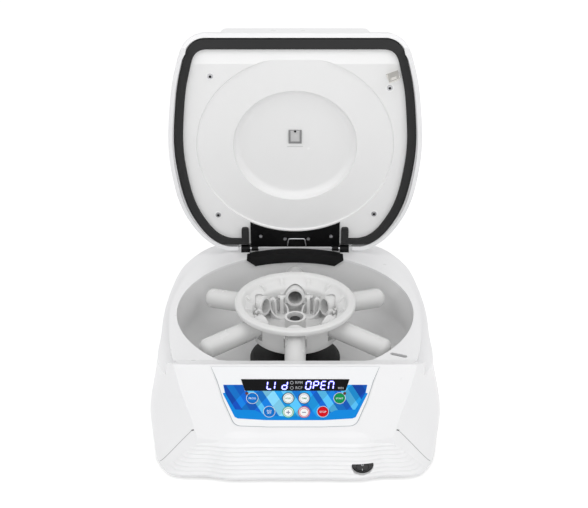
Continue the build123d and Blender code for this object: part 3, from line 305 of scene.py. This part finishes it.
paint(gasket_rubber, "lid_gasket")
paint(black_rubber, "rim_guard", "motor_mounts", "feet")
paint(boot_rubber, "motor_boot")
paint(steel, "hinge_pins", "hinge_spring", "hinge_screws", "liner_screws", "motor_shaft", "lock_bolt")
paint(hub_shade_steel, "rotor_nut")
paint(nickel, "latch_hook")
paint(black_coat, "hinge_plate", "hinge_brackets")
paint(black_plastic, "switch_body", "power_rocker", "lock_body", "mains_inlet", "fuse_drawer")
paint(sheet_zinc, "power_supply", "motor_plate")
paint(board_green, "control_board")
paint(brass, "board_posts", "inlet_pins")
paint(pan_grey, "base_pan")
paint(motor_grey, "motor")

# %% [markdown]
# ## The control panel's own finishes
#
# The insert is a printed sheet: white, slightly matt, with a hard clear coat. The window
# is a dark tinted plate, so its colour is nearly black and its gloss is high. The keys are
# small mouldings in four colours, and the lamps are unlit, with an amber tint.

# %% Finishes of the panel
def panel_finish(name, colour, second, **sockets):
    """Print or key: fine grain, and so little gloss of its own that its colour stays clear."""
    sockets.setdefault("Specular_IOR_Level", 0.12)
    return finish(name, colour, second, 0.34, grain=3000.0, depth=0.05, **sockets)


insert_white = panel_finish(
    "printed insert", srgb(241, 242, 243), srgb(237, 238, 240), Specular_IOR_Level=0.4)
tinted_window = finish(
    "tinted window", srgb(6, 6, 8), srgb(4, 4, 6), 0.16, spread=0.03, depth=0.01, Specular_IOR_Level=0.1)
key_blue = panel_finish("blue key", srgb(0, 116, 204), srgb(0, 106, 196))
key_white = panel_finish("white key", srgb(244, 246, 247), srgb(238, 240, 242))
key_green = panel_finish("green key", srgb(0, 148, 80), srgb(0, 138, 72))
key_red = panel_finish("red key", srgb(218, 0, 26), srgb(206, 0, 20))
lamp_amber = finish("unlit amber lamp", srgb(104, 50, 32), srgb(80, 38, 26), 0.2, Specular_IOR_Level=0.3)
window_grey = finish(
    "grey sight window", srgb(146, 146, 146), srgb(124, 124, 126), 0.4, grain=1600.0, depth=0.4)

paint(insert_white, "panel_insert")
paint(tinted_window, "display_window", "display_module")
paint(key_blue, "key_1", "key_5")
paint(key_white, "key_2", "key_3", "key_6", "key_7")
paint(key_green, "key_4")
paint(key_red, "key_8")
paint(lamp_amber, "indicator_lamps")
paint(window_grey, "lid_window")
print("materials", len(bpy.data.materials))

# %% [markdown]
# ## Printing on the panel
#
# The insert carries print: a blue field, rings round the keys and small words. A grey line
# along its edge stands for the narrow gap round the insert and is partly painted shade in
# that gap. Print could be painted by a material with masks, but flat shapes are easier to
# place and stay sharp from close by. Each one is drawn as a closed outline on the panel's own
# plane, in millimetres across and down from its upper edge. Blender fills the outlines of a
# flat curve and leaves holes where an outline lies inside another. The plane's direction is
# not typed in: it is the one in which the keys are pressed.

# %% A plane on the panel, and a helper for flat shapes
PANEL_RIDGE = Vector((0.0, -0.14895, 0.136))
INSERT_FACE = 0.4  # heights over the panel's plane, in millimetres
WINDOW_FACE = 0.6
KEY_FACE = 1.3
PRINT_DEPTH = 0.04

press = next(joint for joint in frame["joints"] if joint["name"] == "key_1_press")
outward = -Vector(press["axis"]).normalized()
across = Vector((1.0, 0.0, 0.0))


def plane_at(origin, normal):
    """Place of a drawing whose own axes are across, up and out of a plane."""
    place = Matrix((across, normal.cross(across), normal)).transposed().to_4x4()
    place.translation = origin
    return place


panel_place = plane_at(PANEL_RIDGE, outward)


def settle(curve, name, place, offset, material, body):
    """Mesh of a flat curve or a word, drawn in millimetres on a plane and tied to a body."""
    maker = bpy.data.objects.new(name, curve)
    bpy.context.scene.collection.objects.link(maker)
    mesh = bpy.data.meshes.new_from_object(maker)
    bpy.data.objects.remove(maker)
    mesh.name = name
    mesh.transform(Matrix.Scale(MM, 4) @ Matrix.Translation(offset))
    mesh.materials.clear()
    mesh.materials.append(material)
    piece = bpy.data.objects.new(name, mesh)
    piece.matrix_world = place
    bpy.context.scene.collection.objects.link(piece)
    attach(piece, body)
    return piece


def flat_shape(name, outlines, height, material, body="root", place=None, depth=PRINT_DEPTH):
    """Thin shape inside closed outlines, each a list of points across and down in millimetres."""
    curve = bpy.data.curves.new(name, "CURVE")
    curve.dimensions = "2D"
    curve.fill_mode = "BOTH"
    curve.extrude = depth / 2
    for outline in outlines:
        spline = curve.splines.new("POLY")
        spline.points.add(len(outline) - 1)
        spline.use_cyclic_u = True
        for point, (x, down) in zip(spline.points, outline):
            point.co = (x, -down, 0.0, 1.0)
    return settle(curve, name, place or panel_place, (0.0, 0.0, height + depth / 2), material, body)


def circle(x, down, radius, count=48):
    turns = [2 * math.pi * step / count for step in range(count)]
    return [(x + radius * math.cos(turn), down + radius * math.sin(turn)) for turn in turns]


def rounded(corners, radius, steps=8):
    """Outline with each corner eased by a short curve that starts a radius before it."""
    outline = []
    for index, corner in enumerate(corners):
        corner = Vector(corner)
        before = Vector(corners[index - 1])
        after = Vector(corners[(index + 1) % len(corners)])
        start = corner + (before - corner).normalized() * radius
        end = corner + (after - corner).normalized() * radius
        for step in range(steps + 1):
            t = step / steps
            point = start * (1 - t) ** 2 + corner * 2 * t * (1 - t) + end * t ** 2
            outline.append((point.x, point.y))
    return outline


def mirrored(right):
    """Whole outline from the points of its right half, top to bottom."""
    return right + [(-x, down) for x, down in reversed(right)]


print("panel leans", round(math.degrees(math.asin(outward.z)), 2), "degrees")

# %% [markdown]
# ## The blue field
#
# A bright blue border runs down both sides and along the foot. Inside it lies a pattern of
# slanted panes in many blues, darkest in the outer corners. The panes could be cut as many
# small shapes. Two stepped colour ramps do the same in one material: the first runs across
# with a lean one way and gives each pane its blue, the second leans the other way and
# lightens or darkens it, so panes seem to lie over each other like tinted glass.

# %% Draw the blue field
KEY_HOLE = 5.75
LAMP_HOLE = 1.6
KEYS = (
    (-44.8, 37.0), (-7.3, 37.0), (9.2, 37.0), (46.2, 37.0),
    (-27.2, 52.0), (-7.3, 52.4), (9.2, 52.4), (28.9, 52.0),
)
LAMPS = ((-50.5, 31.6), (51.5, 31.6))
FIELD_TOP = 22.2
FIELD_EDGE = [
    (54.6, FIELD_TOP), (75.0, FIELD_TOP), (73.4, 31.0), (75.6, 31.6), (63.4, 58.0), (60.0, 59.6),
    (30.0, 61.5),
]
PANE_EDGE = [
    (54.6, FIELD_TOP), (74.6, FIELD_TOP), (72.6, 32.0), (62.6, 49.6), (42.0, 50.4), (31.0, 56.0),
    (12.0, 57.0),
]
DISPLAY_FOOT = (52.5, 28.9)


def field_outlines(edge):
    """Outline of a field below the display, with holes for the keys and lamps."""
    outline = mirrored([DISPLAY_FOOT] + edge)
    holes = [circle(x, down, KEY_HOLE) for x, down in KEYS]
    return [outline] + holes + [circle(x, down, LAMP_HOLE, 24) for x, down in LAMPS]


def stepped(tree, value, colours):
    """Colour ramp that holds each colour up to the next place, from places and colours."""
    ramp = tree.nodes.new("ShaderNodeValToRGB")
    ramp.color_ramp.interpolation = "CONSTANT"
    elements = ramp.color_ramp.elements
    for index, (where, colour) in enumerate(colours):
        element = elements[index] if index < 2 else elements.new(where)
        element.position = where
        element.color = colour
    tree.links.new(value, ramp.inputs["Fac"])
    return ramp.outputs["Color"]


def leaning(tree, place, lean, width, middle):
    """Value that runs from 0 to 1 over a width in millimetres, along a direction that leans."""
    turn = tree.nodes.new("ShaderNodeMapping")
    turn.vector_type = "TEXTURE"
    turn.inputs["Location"].default_value = (0.0, -middle * MM, 0.0)
    turn.inputs["Rotation"].default_value = (0.0, 0.0, lean)
    turn.inputs["Scale"].default_value = (width * MM, width * MM, 1.0)
    split = tree.nodes.new("ShaderNodeSeparateXYZ")
    centre = tree.nodes.new("ShaderNodeMath")
    centre.operation = "ADD"
    centre.inputs[1].default_value = 0.5
    tree.links.new(place, turn.inputs["Vector"])
    tree.links.new(turn.outputs["Vector"], split.inputs["Vector"])
    tree.links.new(split.outputs["X"], centre.inputs[0])
    return centre.outputs[0]


NAVY = srgb(8, 74, 180)
DEEP = srgb(6, 98, 204)
MIDDLE_BLUE = srgb(10, 122, 216)
BRIGHT = srgb(24, 152, 226)
PALE_BLUE = srgb(84, 186, 236)
ICE = srgb(128, 208, 240)
PANES = (
    (0.0, DEEP), (0.10, NAVY), (0.16, MIDDLE_BLUE), (0.20, DEEP), (0.26, PALE_BLUE), (0.30, MIDDLE_BLUE),
    (0.35, ICE), (0.42, BRIGHT), (0.46, PALE_BLUE), (0.52, MIDDLE_BLUE), (0.57, BRIGHT), (0.63, DEEP),
    (0.67, PALE_BLUE), (0.72, MIDDLE_BLUE), (0.77, DEEP), (0.81, PALE_BLUE), (0.86, BRIGHT), (0.90, NAVY),
    (0.96, DEEP),
)


def grey(level):
    return (level, level, level, 1.0)


SHADES = (
    (0.0, grey(0.8)), (0.12, grey(1.1)), (0.2, grey(0.75)), (0.29, grey(1.08)), (0.38, grey(0.9)),
    (0.48, grey(1.15)), (0.56, grey(0.86)), (0.65, grey(1.1)), (0.74, grey(0.75)), (0.86, grey(1.05)),
)


def pane_print():
    """Print of slanted panes in blues, clear-coated like the rest of the insert."""
    material = panel_finish("blue pane print", MIDDLE_BLUE, MIDDLE_BLUE)
    tree = material.node_tree
    place = tree.nodes.new("ShaderNodeTexCoord").outputs["Object"]
    middle = (FIELD_TOP + FIELD_EDGE[-1][1]) / 2
    panes = stepped(tree, leaning(tree, place, math.radians(32.0), 150.0, middle), PANES)
    shades = stepped(tree, leaning(tree, place, math.radians(-42.0), 126.0, middle), SHADES)
    blend = tree.nodes.new("ShaderNodeMix")
    blend.data_type = "RGBA"
    blend.blend_type = "MULTIPLY"
    blend.inputs["Factor"].default_value = 1.0
    tree.links.new(panes, blend.inputs["A"])
    tree.links.new(shades, blend.inputs["B"])
    tree.links.new(blend.outputs["Result"], tree.nodes["Principled BSDF"].inputs["Base Color"])
    return material


border_blue = panel_finish("border blue print", srgb(0, 138, 222), srgb(0, 130, 216))
# Grey line round the insert: its edge gap, partly painted shade in that gap.
gap_line_and_shade_grey = panel_finish("grey gap line with painted shade", srgb(176, 180, 184), srgb(168, 172, 176))
flat_shape("panel_field", field_outlines(FIELD_EDGE), INSERT_FACE, border_blue)
flat_shape("panel_panes", field_outlines(PANE_EDGE), INSERT_FACE + PRINT_DEPTH, pane_print())
print("field", len(KEYS) + len(LAMPS), "holes")

# %% [markdown]
# ## Rings round the keys, and the line along the edge
#
# Each key sits in a printed ring, and the white keys carry a ring of their own as well:
# grey, green or red, after what they do. A ring is a circle inside a circle, so the helper
# for flat shapes makes it from two outlines.

# %% Draw rings and edge line
INSERT_EDGE = [(88.0, 2.0), (82.0, 19.0), (76.0, 40.0), (64.5, 68.6), (30.0, 69.9)]
INSERT_CORNER = 7.0
LINE_INSETS = (0.5, 1.15)  # from the insert's edge to both sides of the line
TOP_ROW = 10.0  # points above this lie at the insert's head
RING_INSIDE = 0.05  # from the key's hole to the ring round it
RING_OUTSIDE = 0.6
FACE_RING_INSIDE = 4.2  # radius of the ring on a key's face
FACE_RING_THIN = 4.5
FACE_RING_WIDE = 4.75


def moved_in(points, inset):
    return [(x - inset, down - inset if down > TOP_ROW else down + inset) for x, down in points]


def eased(points, radius):
    """Right half of an outline in which only the foot's corner is eased."""
    foot = rounded(points, radius)
    steps = 9
    return points[:3] + foot[3 * steps:4 * steps] + points[4:]


outer, inner = [mirrored(eased(moved_in(INSERT_EDGE, inset), INSERT_CORNER)) for inset in LINE_INSETS]
# This line stands for the edge gap and is partly painted shade, left open at the top.
flat_shape("insert_edge_line", [outer + inner[::-1]], INSERT_FACE, gap_line_and_shade_grey)
ring_white = panel_finish("white ring print", srgb(226, 236, 244), srgb(216, 228, 240))
ring_dark = panel_finish("dark ring print", srgb(62, 84, 92), srgb(54, 74, 84))
ring_green = panel_finish("green ring print", srgb(64, 186, 120), srgb(54, 174, 110))
ring_red = panel_finish("red ring print", srgb(232, 56, 66), srgb(222, 46, 58))
word_green = panel_finish("green word print", srgb(28, 150, 98), srgb(22, 138, 88))
word_grey = panel_finish("grey word print", srgb(120, 128, 150), srgb(110, 118, 142))
OUTER_RINGS = (ring_white, ring_dark, ring_dark, ring_white, ring_white, ring_green, ring_red, ring_white)
FACE_RINGS = {2: word_green, 3: word_grey, 6: ring_green, 7: ring_red}
for number, (x, down) in enumerate(KEYS, 1):
    rings = [circle(x, down, KEY_HOLE + RING_INSIDE), circle(x, down, KEY_HOLE + RING_OUTSIDE)]
    flat_shape(f"key_ring_{number}", rings, INSERT_FACE + 2 * PRINT_DEPTH, OUTER_RINGS[number - 1])
    if number in FACE_RINGS:
        outside = FACE_RING_WIDE if number > 4 else FACE_RING_THIN
        rings = [circle(x, down, FACE_RING_INSIDE), circle(x, down, outside)]
        flat_shape(f"key_face_ring_{number}", rings, KEY_FACE, FACE_RINGS[number], f"key_{number}")

# %% [markdown]
# ## Words and signs on the keys
#
# The words are Blender's own text, turned into meshes like the flat shapes, so that each one
# moves with its key when that is pressed.

# %% Print words and signs
def word(name, letters, x, down, size, height, material, body="root", place=None):
    """Word centred at a point, with its letter size in millimetres."""
    text = bpy.data.curves.new(name, "FONT")
    text.body = letters
    text.size = size
    text.align_x = "CENTER"
    text.align_y = "CENTER"
    text.space_line = 0.8
    text.offset = 0.02
    text.extrude = PRINT_DEPTH / 2
    text.resolution_u = 4
    offset = (x, -down, height + PRINT_DEPTH / 2)
    return settle(text, name, place or panel_place, offset, material, body)


def bar(x, down, half_length, half_width):
    """Plain bar across the panel."""
    return [
        (x - half_length, down - half_width), (x + half_length, down - half_width),
        (x + half_length, down + half_width), (x - half_length, down + half_width),
    ]


KEY_WORDS = {
    1: ("PROG", 2.9, ring_white), 2: ("SPEED", 2.3, word_green), 3: ("TIME", 2.7, word_green),
    4: ("START", 2.6, ring_white), 5: ("RCF\nSET", 2.9, ring_white), 8: ("STOP", 2.9, ring_white),
}
for number, (letters, size, ink) in KEY_WORDS.items():
    x, down = KEYS[number - 1]
    word(f"key_word_{number}", letters, x, down, size, KEY_FACE, ink, f"key_{number}")
SIGN_HALF = 2.0
SIGN_THICK = 0.45  # half the stroke
x, down = KEYS[5]
long, thin = SIGN_HALF, SIGN_THICK
plus = [(x + a, down + b) for a, b in (
    (-long, -thin), (-thin, -thin), (-thin, -long), (thin, -long), (thin, -thin), (long, -thin),
    (long, thin), (thin, thin), (thin, long), (-thin, long), (-thin, thin), (-long, thin))]
flat_shape("key_sign_6", [plus], KEY_FACE, word_grey, "key_6")
x, down = KEYS[6]
flat_shape("key_sign_7", [bar(x, down, SIGN_HALF, SIGN_THICK)], KEY_FACE, word_grey, "key_7")
print("key words", len(KEY_WORDS))

# %% [markdown]
# ## Lit digits
#
# The display shows its letters with seven bars each, which lean a little. A lit bar looks
# nearly white in its middle and deep blue round it, because its light spreads in the tinted
# window. A glow could be added after rendering, but then it would be lost from every other
# view. Here each bar is two shapes instead: a wider blue one, and a narrow pale one on top.

# %% Light the digits
DIGIT_TOP = 18.5
DIGIT_HEIGHT = 8.4
DIGIT_WIDTH = 4.9
DIGIT_PITCH = 7.85
DIGIT_LEAN = 0.13
BAR_GAP = 0.35
BARS = {
    "a": ((0, 0), (1, 0)), "b": ((1, 0), (1, 0.5)), "c": ((1, 0.5), (1, 1)), "d": ((0, 1), (1, 1)),
    "e": ((0, 0.5), (0, 1)), "f": ((0, 0), (0, 0.5)), "g": ((0, 0.5), (1, 0.5)),
}
LETTERS = {"L": "def", "I": "ef", "d": "bcdeg", "O": "abcdef", "P": "abefg", "E": "adefg", "N": "abcef"}


def lit_bar(start, end, half_width):
    """Rounded bar from one point to another, a little short of both."""
    start, end = Vector(start), Vector(end)
    along = (end - start).normalized()
    turn = math.atan2(along.y, along.x)
    start += along * (BAR_GAP + half_width)
    end -= along * (BAR_GAP + half_width)
    outline = []
    for centre, first in ((end, -math.pi / 2), (start, math.pi / 2)):
        for step in range(7):
            angle = turn + first + math.pi * step / 6
            outline.append((centre.x + half_width * math.cos(angle), centre.y + half_width * math.sin(angle)))
    return outline


def digit_bars(letters, left, half_width):
    outlines = []
    for index, letter in enumerate(letters):
        for name in LETTERS[letter]:
            ends = []
            for u, v in BARS[name]:
                down = DIGIT_TOP + v * DIGIT_HEIGHT
                x = left + index * DIGIT_PITCH + u * DIGIT_WIDTH + DIGIT_LEAN * (1 - v) * DIGIT_HEIGHT
                ends.append((x, down))
            outlines.append(lit_bar(*ends, half_width))
    return outlines


blue_light = finish(
    "blue digit light", srgb(30, 20, 200), srgb(26, 16, 190), 0.3,
    Emission_Color=srgb(66, 44, 255), Emission_Strength=1.0)
pale_light = finish(
    "pale digit light", srgb(200, 205, 255), srgb(190, 196, 255), 0.3,
    Emission_Color=srgb(222, 226, 255), Emission_Strength=1.0)
GLOW_HALF = 1.0  # half widths of the wide and the narrow bar
CORE_HALF = 0.5
for name, letters, left in (("lid", "LId", -29.6), ("open", "OPEN", 10.7)):
    flat_shape(f"digits_{name}_glow", digit_bars(letters, left, GLOW_HALF), WINDOW_FACE, blue_light)
    core = digit_bars(letters, left, CORE_HALF)
    flat_shape(f"digits_{name}_core", core, WINDOW_FACE + PRINT_DEPTH, pale_light)

# %% Small print on the display
UNIT_X = 3.8
UNIT_SIZE = 4.3
UNIT_RING_X = -3.6
UNIT_RING = (1.35, 1.85)  # radii
MINUTES = (47.4, 25.9, 3.4)  # across, down and size
faint_print = panel_finish("faint display print", srgb(176, 178, 182), srgb(160, 162, 166))
for name, down in (("RPM", 19.9), ("RCF", 25.6)):
    word(f"display_{name}", name, UNIT_X, down, UNIT_SIZE, WINDOW_FACE, faint_print)
    rings = [circle(UNIT_RING_X, down, radius, 24) for radius in UNIT_RING]
    flat_shape(f"display_ring_{name}", rings, WINDOW_FACE, faint_print)
word("display_min", "MIN", *MINUTES, WINDOW_FACE, faint_print)

# %% [markdown]
# ## Inside of the lid
#
# The lid's small sight window has a paler pane set in its grey frame, and a faint line
# below it. Each screw of the liner sits in a shallow washer, and the shade in its socket is
# painted as a dark disc. These are drawn on the liner's face as it lies with the lid shut, and
# the drawing is then turned about the hinge with the lid, so the numbers stay those of a flat disc.

# %% Draw on the liner
LINER_FACE = Vector((0.0, -0.00995, 0.126))
RECESS_FLOOR = -11.0  # heights from the liner's face, in millimetres
FRAME_FACE = -9.5
POCKET_FLOOR = -10.2
SCREW_FACE = 1.44
LINER_SCREWS = ((-96.7, -92.9), (108.3, -78.4), (-94.1, 94.0), (96.5, 92.5))

hinge = next(joint for joint in frame["joints"] if joint["name"] == "lid_hinge")
hinge_axis = Vector(hinge["pos_m"])
LID_OPEN = math.radians(-83.2)
to_hinge = Matrix.Translation(hinge_axis)
swing = to_hinge @ Matrix.Rotation(LID_OPEN, 4, "X") @ to_hinge.inverted()
liner_place = swing @ plane_at(LINER_FACE, Vector((0.0, 0.0, -1.0)))

pane_grey = panel_finish("pale window pane", srgb(206, 206, 206), srgb(196, 196, 196))
faint_grey = panel_finish("faint moulded line", srgb(214, 214, 214), srgb(208, 208, 208))
# Dark material for the window's small dot and for the painted shade in the screw sockets.
dark_dot_and_socket_shade = panel_finish("dark dot and painted socket shade", srgb(44, 44, 45), srgb(36, 36, 37))
washer_pale = panel_finish("pale washer", srgb(250, 250, 250), srgb(244, 244, 244), Specular_IOR_Level=0.5)


def on_liner(name, outlines, height, material):
    flat_shape(name, outlines, height, material, "lid", liner_place)


WINDOW_PANE = (0.0, -8.9, 5.4, 6.4)  # middle across and down, then half width and half height
WINDOW_TOP = (0.0, -16.6, 5.4, 0.9)
WINDOW_LINE = (0.0, 4.7, 9.3, 0.6)
WINDOW_CATCH = (0.0, -16.4, 1.5)  # middle and radius
LINER_DOT = (15.9, 7.4, 1.7)
WASHER = (3.35, 5.0)  # radii
SOCKET = 1.7
on_liner("window_pane", [bar(*WINDOW_PANE)], POCKET_FLOOR, pane_grey)
on_liner("window_top", [bar(*WINDOW_TOP)], FRAME_FACE, pane_grey)
on_liner("window_catch", [circle(*WINDOW_CATCH, 24)], FRAME_FACE + PRINT_DEPTH, dark_dot_and_socket_shade)
on_liner("window_line", [bar(*WINDOW_LINE)], RECESS_FLOOR, faint_grey)
on_liner("liner_dot", [circle(*LINER_DOT, 24)], RECESS_FLOOR, washer_pale)
for number, (x, y) in enumerate(LINER_SCREWS, 1):
    on_liner(f"screw_washer_{number}", [circle(x, y, radius) for radius in WASHER], 0.0, washer_pale)
    # Dark disc on each screw head: painted shade in its socket.
    on_liner(f"screw_socket_shade_{number}", [circle(x, y, SOCKET, 24)], SCREW_FACE, dark_dot_and_socket_shade)
print("liner screws", len(LINER_SCREWS))

# %% [markdown]
# ## Creases on the front, and the switch's marks
#
# At each side of the ribbed foot the moulding turns a corner. The shade along that corner is
# painted as a fine grey line, and the shade in a small pit at its upper end as a darker spot.
# A line on a curved wall can't be drawn on a plane. It is laid by casting rays straight back
# onto the housing and joining the places that they hit, so it sits on the wall from every side.
# The same cast finds the face of the switch's rocker.

# %% Lay lines on the curved front
STRIP_LIFT = 0.12  # millimetres over the wall
STRIP_SINK = 0.1
STRIP_STEPS = 24
BACKWARD = Vector((0.0, 1.0, 0.0))
IN_FRONT = -0.4


def front_of(node, x, z):
    """Place and direction of a node's front at x and z in millimetres."""
    found, place, normal, _ = nodes[node].ray_cast(Vector((x * MM, IN_FRONT, z * MM)), BACKWARD)
    if not found:
        raise SystemExit(f"no front on {node} at {x}, {z}")
    return place, normal


def strip_on(name, node, start, end, half_width, material):
    """Thin strip on a node's front, from one place to another, each given as x and z."""
    start, end = Vector(start), Vector(end)
    run = Vector((end.x - start.x, 0.0, end.y - start.y)).normalized()
    corners = []
    for step in range(STRIP_STEPS + 1):
        x, z = start.lerp(end, step / STRIP_STEPS)
        place, normal = front_of(node, x, z)
        side = run.cross(normal).normalized() * half_width * MM
        for way, lift in ((-1, STRIP_LIFT), (1, STRIP_LIFT), (1, -STRIP_SINK), (-1, -STRIP_SINK)):
            corners.append(place + side * way + normal * lift * MM)
    faces = [(0, 1, 2, 3), tuple(range(len(corners) - 1, len(corners) - 5, -1))]
    for first in range(0, len(corners) - 4, 4):
        for edge in range(4):
            after = (edge + 1) % 4
            faces.append((first + edge, first + 4 + edge, first + 4 + after, first + after))
    mesh = bpy.data.meshes.new(name)
    mesh.from_pydata(corners, [], faces)
    shape = bmesh.new()
    shape.from_mesh(mesh)
    bmesh.ops.recalc_face_normals(shape, faces=shape.faces)
    shape.to_mesh(mesh)
    shape.free()
    mesh.materials.append(material)
    piece = bpy.data.objects.new(name, mesh)
    bpy.context.scene.collection.objects.link(piece)
    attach(piece, "root")


bpy.context.view_layer.update()
# Grey crease line: painted shade along the corner. Darker pit: painted shade in a small notch.
crease_shade_grey = panel_finish("painted crease shade", srgb(178, 178, 180), srgb(170, 170, 172))
pit_shade_grey = panel_finish("painted shade in crease pit", srgb(96, 96, 98), srgb(84, 84, 86))
CREASE = ((108.6, 63.8), (147.0, 9.0))  # ends, as x and z on the right
CREASE_HALF = 0.32
CREASE_PIT = ((106.6, 65.2), (109.4, 63.2))
PIT_HALF = 0.65
for side, name in ((1, "right"), (-1, "left")):
    line, pit = [[(side * x, z) for x, z in ends] for ends in (CREASE, CREASE_PIT)]
    strip_on(f"crease_{name}", "housing_shell", *line, CREASE_HALF, crease_shade_grey)
    strip_on(f"crease_pit_{name}", "housing_shell", *pit, PIT_HALF, pit_shade_grey)
print("strips of", STRIP_STEPS, "steps")

# %% Mark the rocker
ROCKER_X = 71.6
OFF_MARK = [circle(0, 0, radius, 24) for radius in (0.8, 1.35)]
ON_MARK = [rounded(bar(0, 0, 0.3, 1.3), 0.25, 3)]
mark_white = panel_finish("pale switch mark", srgb(196, 198, 200), srgb(186, 188, 190))
for name, z, shape in (("off", 22.6, OFF_MARK), ("on", 16.6, ON_MARK)):
    place, normal = front_of("power_rocker", ROCKER_X, z)
    flat_shape(f"switch_mark_{name}", shape, 0.0, mark_white, "power_rocker", plane_at(place, normal))
